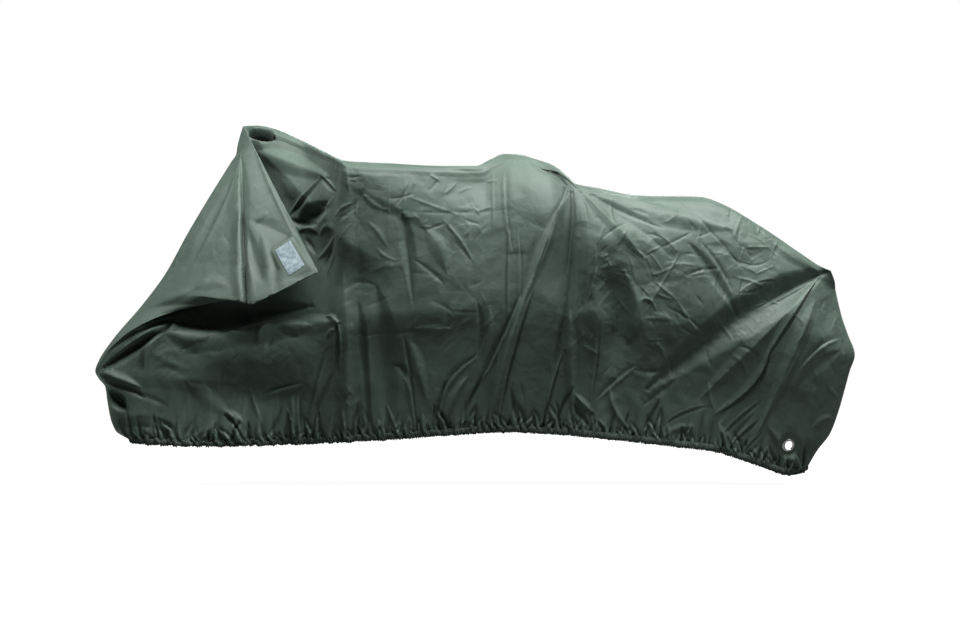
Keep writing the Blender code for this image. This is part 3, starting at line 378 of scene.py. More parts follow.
cover["folds"] = table("x0 z0 x1 z1 x2 z2 wide out kind",
    # the column that hangs from the front support, and the pocket behind it
    (-44.8, 109.5, -45, 62, -43.6, 12, 6, 1.4, 0), (-44.8, 72, -43.6, 48, -44.2, 24, 2.6, 0.5, 1),
    (-40.4, 62, -38.5, 46, -37.1, 16, 2.2, -0.8, 0), (-44.4, 64.5, -41, 68.2, -34, 67, 1.6, -0.4, 1),
    (-34, 66, -31.5, 45, -30.5, 18, 5.5, -1.6, 0), (-37.5, 58, -36.4, 36, -35, 17, 2.2, 0.4, 1),
    # flat cloth of the upper middle: packing creases and drag lines
    (-38.1, 99.6, -41.1, 94, -45.7, 89.6, 1.6, -0.49, 1), (-38.8, 97.6, -35.1, 94, -30.8, 92, 1.4, 0.42, 1),
    (-30.2, 102, -30.2, 90.6, -30.5, 79, 0.7, 0.11, 1), (-25.2, 103, -24.9, 94, -25.9, 84, 0.7, 0.13, 1),
    (-3.6, 92.3, -3.6, 84, -3.3, 75, 0.7, 0.15, 1), (4.3, 105.5, 4.3, 95.6, 4.3, 84, 0.72, 0.2, 1),
    (9.3, 105.5, 9.3, 99, 9.6, 91, 0.72, -0.2, 1), (-30.2, 91.6, -9.9, 91.3, 9.3, 91.9, 0.7, -0.098, 1),
    (-25.2, 97, -14.3, 93, -5, 90, 0.8, 0.17, 1), (-12.9, 89.6, -6.6, 82.3, -2.3, 75, 0.96, 0.35, 1),
    (-8.6, 82.3, -5.5, 78.5, -2.4, 74.5, 0.8, -0.21, 1), (-25.9, 90.6, -23.9, 80.7, -22.2, 62, 3, -1.3, 0),
    (-25, 84, -23.6, 74, -22.4, 60, 2.2, 0.5, 2), (-22.1, 76, -16, 71.7, -11.8, 67.5, 1.2, -0.42, 1),
    (-37, 88, -33.5, 84.5, -30.5, 79.5, 1.3, 0.32, 1), (-34.5, 80, -31.5, 77, -27.5, 75.5, 0.96, 0.24, 1),
    (-18, 86, -13, 79, -11, 72, 4, 0.8, 0), (-17.6, 62.4, -12, 60.5, -8.5, 57.5, 0.96, -0.17, 1),
    # the narrow pleat and the long ridge that lean down to the front
    (9.9, 89.6, 9, 72, 9, 50, 1.8, -0.55, 2), (12.6, 86, 13.4, 72, 12.8, 60, 1.8, 0.55, 2),
    (8.4, 106.5, 8.8, 92, 11, 76, 1.8, 0.5, 2), (16, 109, 22, 106.6, 28.4, 100.6, 2.6, -1, 0),
    (18, 82, 16, 74, 12.6, 62, 1.6, -0.49, 1), (29.8, 98.9, 21, 79, 15, 63, 2.6, 1.8, 1),
    (17.5, 70, 9.5, 47, 2.8, 20, 2.8, 1.9, 1), (13, 64, 6.4, 47.5, -6.2, 23, 2.2, -1.1, 2),
    (19, 68, 11.2, 45.9, 5.8, 18, 2.2, 1.1, 2), (28.6, 101.4, 24.8, 88, 20, 74, 2.2, -1.3, 2),
    (30, 100.4, 29.6, 86, 27.6, 66, 1.8, -0.9, 2), (30.5, 98, 28.4, 62.4, 24.5, 38, 3.2, -1.8, 1),
    (28.4, 47, 24.2, 34.3, 20.8, 20, 2, 0.9, 2), (31.4, 34.5, 28.6, 29, 26, 22.5, 1.3, -1.1, 1),
    (29.8, 58, 30.2, 42, 31.5, 22, 2.8, 1.5, 0), (33.5, 97, 35.4, 82, 34, 62, 3, 1.3, 1),
    # lower middle: troughs that drop to the hem
    (-22.2, 52.8, -15.2, 52.8, -8, 52.8, 1.6, 0.49, 1),
    (-44.8, 50.6, -26.5, 51.6, -8.3, 54.3, 0.72, -0.21, 1), (-25.9, 51.8, -23.6, 39, -21, 17, 2.2, 1, 2),
    (-23.5, 49, -20.5, 41, -18, 30, 3, 1, 0), (-29, 40.5, -25, 39, -23, 33, 1.8, -0.9, 0),
    (0.5, 44.5, -8.5, 37.5, -12.8, 29, 2.4, -1, 2), (-11, 35.5, -12.6, 29, -14.8, 20, 2, -0.9, 2),
    (-4, 37, -9, 30, -12, 20, 2.2, 1.2, 0), (2.7, 38.2, -2, 30.9, -5.3, 23.3, 1.6, -1, 0),
    (10.5, 33, 11.3, 27, 13.5, 20, 1.3, -0.9, 1), (-1, 62, 0.5, 52, -1.5, 44, 1.8, -0.7, 0),
    (3, 60, 3.2, 50, 1, 42, 2.2, 0.8, 0),
    # rays from the middle support
    (32.6, 99.6, 45.1, 86.3, 54.7, 76, 2.4, 0.8, 1), (33, 99.6, 47.1, 92.3, 61, 86, 1.3, -0.5, 1),
    (33, 100, 50, 95.6, 66, 91, 1.1, 0.4, 1), (41.5, 74, 46.5, 56, 44, 36, 8, -4.4, 3),
    (38, 80, 37.6, 70, 35.5, 62, 1.3, 0.8, 1), (40.5, 78, 37, 70, 36.2, 62.5, 0.88, -0.35, 1),
    (48, 72, 51.7, 59, 49, 47.5, 3, 1.2, 0), (38.9, 55, 38.7, 42.5, 36.8, 25, 1.8, 0.8, 2),
    (34, 47.5, 37.2, 45.8, 39.5, 44.6, 1, 0.49, 1), (31.6, 31.5, 34.6, 28, 38, 25, 1.7, 1.6, 1),
    (31.3, 28.5, 33.3, 24.5, 36.5, 20.5, 1.6, -1.4, 1), (36, 96.5, 52, 87, 64, 76, 3, -0.4, 1),
    (36, 98, 60, 91.5, 84, 86, 4.5, 0.9, 0),
    # rear field: drag lines and packing creases
    (67.6, 80.3, 61, 69, 54, 57.5, 0.8, 0.28, 1), (53, 76.3, 62.8, 81, 71.3, 85.3, 0.72, -0.24, 1),
    (39.8, 82.3, 44, 85.6, 49, 88.3, 0.72, -0.24, 1), (66.3, 95.6, 74.5, 88, 85.2, 76.3, 0.8, -0.24, 1),
    (73, 82.3, 80, 73.5, 84, 65, 0.96, -0.42, 1), (70, 81, 77.5, 71, 86.9, 56, 2.4, -0.9, 0),
    (85.8, 76, 92, 74.2, 97.6, 76.5, 0.72, -0.24, 1), (97.6, 76.5, 99.2, 80.2, 100.6, 83.2, 0.72, 0.21, 1),
    (85.2, 64, 91, 68, 99.6, 69.8, 0.72, 0.24, 1), (84.2, 65, 92, 65.6, 97, 69.5, 0.72, -0.21, 1),
    (54, 77.3, 58, 79, 62, 80.3, 0.96, 0.24, 1), (69, 70.6, 74, 72.6, 79.6, 73, 0.96, -0.42, 1),
    (60.7, 60.8, 68.6, 56.5, 74.6, 51.5, 0.8, -0.4, 1), (65, 62.4, 68.5, 57, 72.9, 50.8, 0.88, 0.42, 1),
    (53, 62, 56, 62.6, 58.5, 58.5, 1, 0.49, 1), (57.3, 58, 60.3, 57, 63.6, 56, 1.8, 0.4, 0),
    (58, 48.5, 60.5, 46, 61.5, 42.6, 0.88, 0.35, 1), (65.5, 74.5, 60, 71.5, 56.5, 71, 0.96, 0.28, 1),
    (79, 90, 83.5, 86, 87, 81, 0.96, 0.21, 1), (66, 94, 65, 90, 61, 88, 0.96, 0.24, 1),
    (95, 86, 104, 78, 114.5, 72.5, 2.6, 0.8, 0), (88, 82, 94, 80.5, 100, 80.5, 4, 0.4, 0),
    # the shadow band and the sharp folds that run down from the tail
    (117, 71.8, 90, 58.5, 56, 33, 7.5, -3.6, 0), (116.2, 71, 106, 66.4, 94, 60, 2.6, -0.9, 2),
    (115.7, 70.7, 92.6, 49, 74, 30, 3.4, 1.2, 1), (115, 70, 104, 56.5, 95.4, 43, 2.8, 1.3, 2),
    (96.6, 47, 91.5, 34.5, 77.5, 23.4, 2.8, 1.3, 2), (113, 62, 106, 48, 94, 20, 3.2, 0.9, 1),
    (107.8, 46.4, 101.4, 35, 94, 20, 1.3, 0.42, 1), (104, 47, 108, 53, 104.6, 58, 0.8, 0.28, 1),
    (121.8, 49.4, 114.6, 46.6, 106.6, 38.6, 3, -0.5, 2), (121.3, 45.2, 113.4, 40.2, 106, 33, 3, -0.5, 0),
    (84, 44, 87.5, 41.5, 89, 37, 0.96, 0.35, 1), (85.5, 47, 90, 46, 93, 43, 0.96, -0.35, 1),
    # above the rear hem
    (52.4, 40.8, 46, 35.9, 38.6, 28.6, 2.6, -0.8, 2), (51, 39.6, 57, 38.6, 64, 40, 1.3, -0.49, 1),
    (43.5, 34, 45, 26, 50.5, 19, 1.5, 1, 1), (60, 29, 57.5, 24, 54.5, 19, 1.4, -1, 1),
    (60.5, 19.6, 68, 25, 77.5, 27.2, 1.6, -0.5, 2), (61.6, 16.6, 66, 19.6, 72, 20, 1.6, 0.5, 0),
    (66, 36, 60, 31.5, 54, 27, 1.6, -0.5, 1), (76, 36, 77, 30, 78.5, 25, 0.8, 0.35, 1),
    (80, 16, 87.6, 24, 95, 29.2, 1.8, -0.6, 2), (83.6, 14.6, 88, 20, 92, 24.4, 1.2, -0.4, 1),
    (82.6, 11.8, 88.4, 18.2, 94, 23, 1.8, -0.6, 2), (88, 10, 91, 14.8, 95, 18.4, 1.4, -0.5, 2),
    (97, 20, 104, 11, 108, 6, 3, 0.8, 0), (112, 19, 116.5, 22.5, 119.5, 22, 1.6, 0.6, 0),
    # under the flap: two slits, the layer between them and the shelf below
    (-125.4, 44, -113, 53, -102, 56.6, 1.1, -2, 1), (-124, 42.6, -112.5, 50.6, -101, 55, 1.7, 1.4, 0),
    (-127, 38.6, -115.4, 46.8, -102.5, 55.5, 2.3, -5.5, 1),
    (-105, 54.6, -110.4, 48, -112.6, 40, 2.4, 1.7, 0), (-104, 51.6, -92.2, 49.5, -76, 51, 5, 2, 0),
    (-84, 50.4, -71.3, 52.4, -56, 53.5, 5, 1.9, 0), (-66, 53.2, -56.4, 54.4, -46, 55.1, 4, 1.5, 0),
    (-104, 55.6, -84, 57, -56, 60.4, 6.4, -3, 0), (-92, 48, -88, 51.5, -84.5, 54, 0.8, 0.28, 1),
    (-90, 46.5, -86, 50.5, -82, 53.5, 0.8, -0.24, 1), (-87.5, 45, -83.5, 49.5, -79.5, 53, 0.8, 0.28, 1),
    (-102, 44, -96, 47.5, -88, 48, 1, -0.35, 1), (-103, 34.6, -77.9, 31.3, -53, 34.6, 15, -4.2, 3),
    (-73.6, 47.8, -71.9, 51.8, -68.6, 53.1, 1.8, 1.5, 1), (-70.5, 46, -67, 50.5, -60, 50, 3, -0.9, 0),
    (-98, 34.5, -91, 29, -84, 24, 3.6, 0.7, 0), (-86.5, 25, -82.4, 22.4, -77.6, 14, 2.2, -1, 2),
    (-86.5, 24.6, -82, 23.6, -78.5, 20.5, 1.4, 1, 1), (-74, 29, -66, 32.4, -58, 34.5, 2.6, 0.8, 2),
    (-60.4, 31, -60.2, 24.3, -59.8, 16, 2, 0.9, 2), (-62.6, 30, -62.4, 25, -61.5, 19, 1.6, 0.9, 1),
    (-66.5, 26, -68, 21, -70.5, 17, 1.4, -1, 1), (-76.5, 30, -74.5, 25, -73, 22, 0.96, 0.42, 1),
    (-51, 57, -48.4, 56.5, -47, 54, 1.4, 0.9, 1), (-47.4, 56, -46.6, 49, -47.4, 38, 2, -1.7, 2),
    (-52.6, 47, -49.8, 52, -47.8, 52, 1.3, 0.8, 1), (-50.6, 45.5, -54.5, 33, -57.4, 21, 2.2, -0.8, 2),
    (-48.5, 39, -52, 31, -55.5, 24, 1.4, -0.9, 1),
    # nose
    (-127.3, 38.4, -121.7, 36.6, -113.7, 33.3, 2.4, 1.6, 1),
    (-126, 34.6, -119.5, 33.4, -112, 29.6, 1.8, -1.2, 1),
    (-124.2, 31.9, -121.6, 28.6, -118.6, 26, 2.9, -4, 0), (-118, 32, -110, 29.5, -104, 26.6, 1.4, -0.42, 1),
    (-111.4, 46.2, -103.4, 41.5, -95.1, 38.9, 1.6, 0.35, 1),
    (-109.4, 42.5, -104.4, 45.2, -96.1, 44.9, 1.1, 0.28, 1), (-110, 38, -104, 40, -97, 36, 1, -0.42, 1),
    (-121, 22, -112, 24, -100, 20.5, 2.4, 0.42, 1), (-119.5, 19.5, -111, 20.2, -102, 17, 1.1, -0.42, 1),
    # between the flap and the column: dark recess at the peak, smooth band, sunk triangle and small puffs
    (-80.2, 118.2, -76.2, 121.6, -70.6, 117.8, 2.8, -2, 0),
    (-76.6, 114, -65.6, 109.5, -50.4, 103.5, 4.4, 1.5, 0), (-67.5, 104, -65, 100, -63, 96.5, 2.2, 0.4, 0),
    (-65.5, 90.6, -59.2, 97.4, -52.6, 104, 2.2, -0.9, 2), (-62, 88.9, -56, 91.4, -51, 95, 4.4, -2.4, 0),
    (-53.4, 104.4, -50.6, 101.6, -47.6, 98, 2, -0.9, 2),
    (-58.3, 97.6, -57.3, 94.3, -58.8, 92.3, 0.8, 0.35, 1), (-55.5, 94, -51, 93.6, -48.6, 97, 0.96, 0.49, 1),
    (-64, 90, -60, 88.2, -54.5, 88, 1.8, -1.6, 1), (-61.2, 85.4, -57.5, 87, -54.2, 85, 2, 1.2, 1),
    (-58.8, 83.2, -57, 81, -54.8, 77.6, 1.5, -0.9, 1), (-53.6, 84, -50.6, 87, -48.2, 84.2, 1.5, 0.6, 1),
    (-54.4, 76, -50.4, 79.6, -48, 84, 1.3, 0.8, 1), (-52.4, 72.2, -50.8, 76, -48.6, 79.6, 0.88, -0.42, 1),
    (-51, 71, -49, 75, -47.4, 78, 0.8, 0.35, 1), (-47.6, 90, -44.4, 93, -41.8, 94.6, 0.88, 0.42, 1),
    (-47, 87.6, -43.6, 90.6, -41, 93, 0.8, -0.28, 1))

cover["flapFolds"] = table("x0 z0 x1 z1 x2 z2 wide out kind",
    (-82.9, 112.5, -81.2, 96, -79, 74, 5.5, 1.3, 2), (-81, 94, -79.4, 76, -76, 52, 5, 1.9, 2),
    (-83, 111, -81, 93, -79.6, 76, 1, -1.2, 1), (-80.9, 92, -79.6, 77, -76.6, 57, 1.7, -1.7, 1),
    (-79.3, 90, -77.4, 76, -74.5, 62, 1.6, 0.7, 0), (-80.5, 90, -75.6, 77.3, -71.5, 68, 3.4, -1, 0),
    (-77, 89.2, -69.3, 86.2, -62, 82.2, 3.6, -0.9, 1),
    (-78.9, 118.4, -72.5, 103.6, -62.4, 84, 1.3, 0.45, 1), (-72, 92.6, -73.4, 91, -76.6, 88.6, 1.4, 0.4, 1),
    (-73.5, 84.5, -71, 77, -69.4, 66, 2.6, 0.7, 0), (-68.6, 80, -67.6, 73, -66.8, 64, 2.4, -0.7, 0),
    (-84.6, 106, -89.8, 90.6, -99, 71, 3.4, -0.6, 2), (-88.4, 98, -93.6, 86, -101, 70, 2.2, -0.4, 1),
    (-87, 85, -85.4, 82.8, -84, 81.2, 0.8, -0.2, 1), (-86, 79.8, -88.4, 77.2, -91, 75.2, 0.8, -0.2, 1),
    (-90.6, 80.4, -90, 78, -90.6, 76.4, 0.8, 0.2, 1), (-92, 94, -95, 87, -98.5, 81, 0.8, 0.25, 1),
    (-96, 66, -90, 68.5, -84, 67, 3, 0.5, 0), (-112, 60, -104, 63, -96, 66, 2.4, 0.5, 0),
    (-81, 70, -79.8, 66.5, -80.6, 63.5, 1, 0.3, 1))

cover["farFolds"] = table("x0 z0 x1 z1 x2 z2 wide out kind",
    (-70, 110, -78, 84, -92, 60, 6, 1, 0), (-66, 110, -61, 82, -60, 50, 5, 0.8, 1),
    (-30, 98, -32, 74, -38, 50, 6, 0.7, 0), (8, 102, 12, 80, 10, 56, 6, 0.8, 0),
    (30, 94, 38, 66, 40, 36, 5, 0.9, 1), (76, 90, 72, 66, 62, 44, 6, 0.7, 0),
    (112, 68, 96, 52, 80, 33, 5, 1.3, 0), (112, 64, 107, 44, 98, 24, 4, -1.2, 0),
    (-112, 50, -96, 46, -78, 45, 6, -1.3, 0), (-8, 60, 11, 60, 30, 62, 6, -0.8, 0))

# small creases and flat facets that crushed cloth shows, strewn in patches; lean is in degrees from upright
cover["strewn"] = table("x z wide high count long lean spread thick out",
    (-20, 92, 24, 11, 40, 7, 60, 80, 0.62, 0.19), (72, 76, 32, 16, 80, 8, -50, 80, 0.62, 0.21),
    (-18, 64, 26, 12, 22, 8, 30, 80, 0.80, 0.13), (-88, 43, 28, 9, 34, 6, 65, 60, 0.85, 0.18),
    (62, 45, 24, 12, 22, 8, -45, 50, 0.90, 0.18), (117, 48, 6, 18, 14, 6, 10, 60, 0.85, 0.16),
    (12, 44, 24, 14, 18, 8, 18, 40, 0.90, 0.18), (-46, 45, 5, 22, 14, 5, 20, 60, 0.90, 0.22),
    (40, 60, 8, 24, 16, 6, 10, 60, 0.85, 0.20))
cover["facets"] = table("pitch lift smooth", (16.0, 0.34, 2), (8.0, 0.12, 1), (4.0, 0.055, 0))
cover["crushed"] = table("x z wide high amount",
    (-20, 92, 34, 18, 0.8), (76, 76, 38, 24, 1.3), (-90, 42, 36, 16, 0.9), (-10, 55, 50, 22, 0.7),
    (60, 44, 40, 20, 0.9), (117, 45, 12, 34, 0.8), (40, 70, 14, 30, 0.6))
cover["flapFacets"] = table("pitch lift smooth", (12.0, 0.9, 1), (6.0, 0.4, 0), (3.0, 0.1, 0))


# curves and surfaces
def pchip(knots, values, at):
    # smooth curve through the knots that follows corners without overshoot
    knots, values, at = np.asarray(knots, float), np.asarray(values, float), np.asarray(at, float)
    step, rise = np.diff(knots), np.diff(values) / np.diff(knots)
    slope = np.empty_like(values)
    slope[0], slope[-1] = rise[0], rise[-1]
    both = rise[:-1] * rise[1:] > 0
    mean = 2.0 / (1.0 / np.where(both, rise[:-1], 1.0) + 1.0 / np.where(both, rise[1:], 1.0))
    slope[1:-1] = np.where(both, mean, 0.0)
    cell = np.clip(np.searchsorted(knots, at, side="right") - 1, 0, len(step) - 1)
    h = step[cell]
    v = np.clip((at - knots[cell]) / h, 0.0, 1.0)
    v2, v3 = v * v, v * v * v
    return (values[cell] * (2 * v3 - 3 * v2 + 1) + values[cell + 1] * (3 * v2 - 2 * v3)
            + h * (slope[cell] * (v3 - 2 * v2 + v) + slope[cell + 1] * (v3 - v2)))


def along(line, at, names="x z y", key=None):
    if key:
        knots = line[key]
    else:
        knots = np.concatenate([[0.0], np.cumsum(np.hypot(np.diff(line["x"]), np.diff(line["z"])))])
        knots = knots / knots[-1]
    return np.stack([pchip(knots, line[name], at) for name in names.split()], axis=-1)


def softStep(v):
    v = np.clip(v, 0.0, 1.0)
    return v * v * (3 - 2 * v)


def quarterRound(v):
    return np.sqrt(1.0 - (1.0 - np.clip(v, 0.0, 1.0)) ** 2)


def fourEdgeSheet(top, low, left, right, heights):
    s = np.linspace(0, 1, len(top))[None, :, None]
    t = heights[:, None, None]
    corners = ((1 - s) * (1 - t) * top[0] + s * (1 - t) * top[-1] + (1 - s) * t * low[0] + s * t * low[-1])
    return (1 - t) * top + t * low + (1 - s) * left[:, None] + s * right[:, None] - corners


def foldLine(px, pz, ends, steps):
    # how far each point is from a bent line, which side of it the point is on, and how full the fold is there
    x0, z0, x1, z1, x2, z2 = ends
    v = np.linspace(0, 1, steps + 1)
    bendX, bendZ = 2 * x1 - (x0 + x2) / 2, 2 * z1 - (z0 + z2) / 2
    lineX = (1 - v) ** 2 * x0 + 2 * v * (1 - v) * bendX + v * v * x2
    lineZ = (1 - v) ** 2 * z0 + 2 * v * (1 - v) * bendZ + v * v * z2
    away, side, full = np.full_like(px, 1e9), np.zeros_like(px), np.zeros_like(px)
    for i in range(steps):
        run, rise = lineX[i + 1] - lineX[i], lineZ[i + 1] - lineZ[i]
        part = np.clip(((px - lineX[i]) * run + (pz - lineZ[i]) * rise) / (run * run + rise * rise), 0, 1)
        offX, offZ = px - lineX[i] - part * run, pz - lineZ[i] - part * rise
        far = np.hypot(offX, offZ)
        closer = far < away
        share = np.clip((i + part) / steps, cover["foldEnds"], 1 - cover["foldEnds"])
        away = np.where(closer, far, away)
        side = np.where(closer, np.sign(run * offZ - rise * offX), side)
        full = np.where(closer, np.sin(math.pi * share) ** cover["foldTaper"], full)
    return away, side, full


def foldShape(kind, wide, away, side, full):
    # kind 0 is soft, 1 is creased, 2 laps over: raised on the right of the line as it is drawn and sunk on
    # the left, and 3 is broad with faint ends
    if kind == 3:
        return softStep(1 - away / wide) * full
    shape = np.clip(1 - away / (wide * full), 0, 1)
    if kind == 0:
        return softStep(shape)
    if kind == 1:
        return shape ** cover["creasePower"]
    sunk = np.clip(1 - away / (wide * full * cover["lapShare"]), 0, 1) ** cover["sunkPower"]
    across = softStep(0.5 - side * away / cover["lapEdge"])
    return shape ** cover["lapPower"] * across - sunk * (1 - across)


def foldDepth(points, folds):
    # how far each point is pushed out by the ridges and in by the troughs
    x, z = points[..., 0], points[..., 2]
    total = np.zeros_like(x)
    for *ends, wide, out, kind in zip(*folds.values()):
        reach = wide + cover["foldReach"]
        near = ((x > min(ends[::2]) - reach) & (x < max(ends[::2]) + reach)
                & (z > min(ends[1::2]) - reach) & (z < max(ends[1::2]) + reach))
        if near.any():
            away, side, full = foldLine(x[near], z[near], ends, cover["foldSteps"])
            total[near] += out * foldShape(kind, wide, away, side, full) * full
    return total


def facetField(points, pitch, seed):
    # random heights on scattered spots, joined by flat triangles that meet in straight creases
    rng = np.random.default_rng(seed)
    x, z = points[..., 0], points[..., 2]
    columns, rows = int(np.ptp(x) / pitch) + 4, int(np.ptp(z) / pitch) + 4
    spots = np.stack(np.meshgrid(np.arange(columns), np.arange(rows)), axis=-1)
    spots = spots + rng.uniform(-cover["facetScatter"], cover["facetScatter"], (rows, columns, 2))
    spots = spots.reshape(-1, 2) * pitch + (x.min() - pitch, z.min() - pitch)
    corners, _, triangles, origins, _, _ = delaunay_2d_cdt([Vector(spot) for spot in spots], [], [], 0, 1e-6)
    heights = rng.normal(size=len(spots))
    heights = np.array([heights[origin[0]] for origin in origins])
    corners = np.array(corners)
    order = np.argsort(x, axis=None)
    sortedX, sortedZ, total = x.ravel()[order], z.ravel()[order], np.zeros(x.size)
    for triangle in triangles:
        a, b, c = corners[list(triangle)]
        first, last = np.searchsorted(sortedX, (min(a[0], b[0], c[0]), max(a[0], b[0], c[0])))
        px, pz = sortedX[first:last] - c[0], sortedZ[first:last] - c[1]
        (ax, az), (bx, bz) = a - c, b - c
        area = ax * bz - bx * az
        shareA, shareB = (px * bz - bx * pz) / area, (ax * pz - px * az) / area
        inside = (shareA >= 0) & (shareB >= 0) & (shareA + shareB <= 1)
        ha, hb, hc = heights[list(triangle)]
        total[first:last][inside] = (hc + (ha - hc) * shareA + (hb - hc) * shareB)[inside]
    spread = np.empty(x.size)
    spread[order] = total
    return spread.reshape(x.shape)


def crushedShare(points):
    x, z = points[..., 0], points[..., 2]
    amount = np.full(x.shape, cover["leastCrushed"])
    for cx, cz, wide, high, more in zip(*cover["crushed"].values()):
        amount += more * np.exp(-((x - cx) / wide) ** 2 - ((z - cz) / high) ** 2)
    return np.minimum(amount, cover["mostCrushed"])


def crushedLift(points, facets, seed):
    total = np.zeros(points.shape[:2])
    for k, (pitch, lift, smooth) in enumerate(zip(*facets.values())):
        layer = facetField(points, pitch, seed + k)
        for _ in range(int(smooth)):
            layer = smoothGrid(layer)
        total += lift * layer
    return total * crushedShare(points)


def upOrDown(rng, share=0.5):
    return 1 if rng.random() < share else -1


def strewCreases(zones, seed):
    # short straight creases, up or down, at random places in each zone
    rng = np.random.default_rng(seed)
    made = []
    for x, z, wide, high, count, long, lean, spread, thick, out in zip(*zones.values()):
        for _ in range(int(count)):
            cx, cz = x + wide * rng.uniform(-1, 1), z + high * rng.uniform(-1, 1)
            angle = math.radians(lean + spread * rng.uniform(-1, 1))
            reach = long * rng.uniform(*cover["creaseLengths"]) / 2
            dx, dz, bow = math.sin(angle) * reach, math.cos(angle) * reach, rng.normal() * cover["creaseBow"]
            push = out * rng.uniform(*cover["creaseDepths"]) * upOrDown(rng)
            made.append((cx - dx, cz - dz, cx - dz * bow, cz + dx * bow, cx + dx, cz + dz,
                         thick * rng.uniform(*cover["creaseWidths"]), push, 1))
    return table("x0 z0 x1 z1 x2 z2 wide out kind", *made)


def smoothGrid(values):
    padded = np.pad(values, ((1, 1), (1, 1)) + ((0, 0),) * (values.ndim - 2), mode="edge")
    return (padded[:-2, 1:-1] + padded[2:, 1:-1] + padded[1:-1, :-2] + padded[1:-1, 2:]) / 4


def gridNormals(points, outward):
    across = np.gradient(points, axis=1)
    down = np.gradient(points, axis=0)
    normal = np.cross(across, down)
    length = np.linalg.norm(normal, axis=-1, keepdims=True)
    flat = length[..., 0] < 1e-9
    normal = normal / np.maximum(length, 1e-9)
    normal[flat] = (0, outward, 0)
    turned = normal[..., 1] * outward < 0
    if turned.mean() > 0.5:
        normal = -normal
    return normal


def pleatRoom(heights):
    # 1 where the flap stands clear of the wall behind it, and 0 at its two ends
    first, last = cover["flapRoot"]["t"][0], cover["flapRoot"]["t"][-1]
    return softStep((last - heights) / cover["roomBelow"]) * softStep((heights - first) / cover["roomAbove"])


def sideWall(side, top, front, heights):
    name = "near" if side < 0 else "far"
    s1 = np.linspace(0, 1, len(top))
    low = along(cover["hemLine"], s1, "x z " + name)
    low[:, 2] *= side
    rear = along(cover["rearEdge"], heights)
    plan = fourEdgeSheet(top[:, :2], low[:, :2], front[:, :2], rear[:, :2], heights)
    sections = cover["sections"]
    profile = np.stack([top[:, 2]] + [pchip(sections["s"], sections[name + part], s1) for part in
                                      ("Shoulder", "Flank", "Belly", "Low")] + [low[:, 2]], axis=0)
    power = 1 / cover["topRound"]
    knots = np.array(cover["sectionHeights"]) ** power
    y = np.stack([pchip(knots, profile[:, i], heights ** power) for i in range(len(top))], axis=1)
    s = s1[None, :]
    if side < 0:
        early, blend = cover["noseBlend"]
        below = softStep((heights - flapEnd + early) / blend)[:, None]
        (least, most), (start, end) = cover["leadShares"], cover["leadHeights"]
        lag = least + (most - least) * softStep((heights - start) / (end - start))[:, None]
        lead = softStep(s / lag) ** cover["leadPower"] * (1 - below)
        lead = lead + quarterRound(s / cover["noseRound"]) * below
    else:
        lead = quarterRound(s / cover["noseRound"])
    y = front[:, 2][:, None] * (1 - lead) + y * lead
    if side < 0:
        start, end = cover["sagEdges"]
        sag = cover["tuckSag"] * quarterRound(s / start) * (1 - softStep(s / end))
        y += sag * pleatRoom(heights)[:, None]
    tail = quarterRound((1 - s) / cover["tailRound"])
    y = rear[:, 2][:, None] * (1 - tail) + y * tail
    y[0] = top[:, 2]
    return np.stack([plan[..., 0], y, plan[..., 1]], axis=-1)


def pleat(heights):
    edge, root = along(cover["flapEdge"], heights, key="t"), along(cover["flapRoot"], heights, key="t")
    front = along(cover["frontEdge"], heights)
    past = heights >= flapEnd
    edge[past] = front[past]
    flat = (heights <= cover["flapRoot"]["t"][0]) | (heights >= cover["flapRoot"]["t"][-1])
    root[flat] = edge[flat]
    v = np.linspace(0, 1, cover["flapColumns"] + 1)[None, :, None]
    outer = front[:, None] * (1 - v) + edge[:, None] * v
    outer[..., 2] = front[:, 2:] + (edge[:, 2:] - front[:, 2:]) * v[..., 0] ** cover["flapBow"]
    w = np.linspace(0, 1, cover["tuckColumns"] + 1)[None, 1:, None]
    under = edge[:, None] * (1 - w) + root[:, None] * w
    room = pleatRoom(heights)
    outer[..., 2] -= np.sin(math.pi * v[..., 0]) * room[:, None] * cover["tuckSag"] * cover["flapSagShare"]
    under[..., 2] += np.sin(math.pi * w[..., 0]) * room[:, None] * cover["tuckSag"]
    outer, under = outer[..., [0, 2, 1]], under[..., [0, 2, 1]]
    outerFade = np.sin(math.pi / 2 * np.clip(v[..., 0] / cover["flapFadeWidth"], 0, 1)) * room[:, None]
    underFade = (1 - w[..., 0]) ** cover["tuckFade"] * room[:, None]
    outer[..., 1] -= (foldDepth(outer, cover["flapFolds"])
                      + crushedLift(outer, cover["flapFacets"], cover["seeds"]["flapFacets"])) * outerFade
    under[..., 1] -= foldDepth(under, cover["flapFolds"]) * underFade
    return outer, under, root


# gathers that the hem's elastic draws in, short ones and tall ones; low and high are the gap to the next one
gathers = {
    "sizes": table("low high short tall thin thick push",
        (0.8, 1.5, 3, 6.5, 0.6, 1.0, 0.48), (2.2, 4.4, 6.5, 12, 0.9, 1.5, 0.62)),
    "lean": 14.0, "depths": (0.6, 1.4), "outwardShare": 0.35, "foot": 0.6, "knee": 0.3,
    "pairShare": 0.6, "pairsFrom": 5, "pairGaps": (1.4, 2.8), "clearFrom": 0.3, "clearTo": 1.3, "endRun": 4.0,
    # how far foot and knee are from a straight rise, also in the second of a pair and in the dip between them
    "footBack": 0.3, "kneeAhead": 0.35, "secondFoot": 1.3, "secondKnee": 0.8,
    "betweenFoot": 0.6, "betweenKnee": 0.45, "betweenDrop": 0.3, "betweenWide": 0.5, "betweenDeep": 0.8,
}


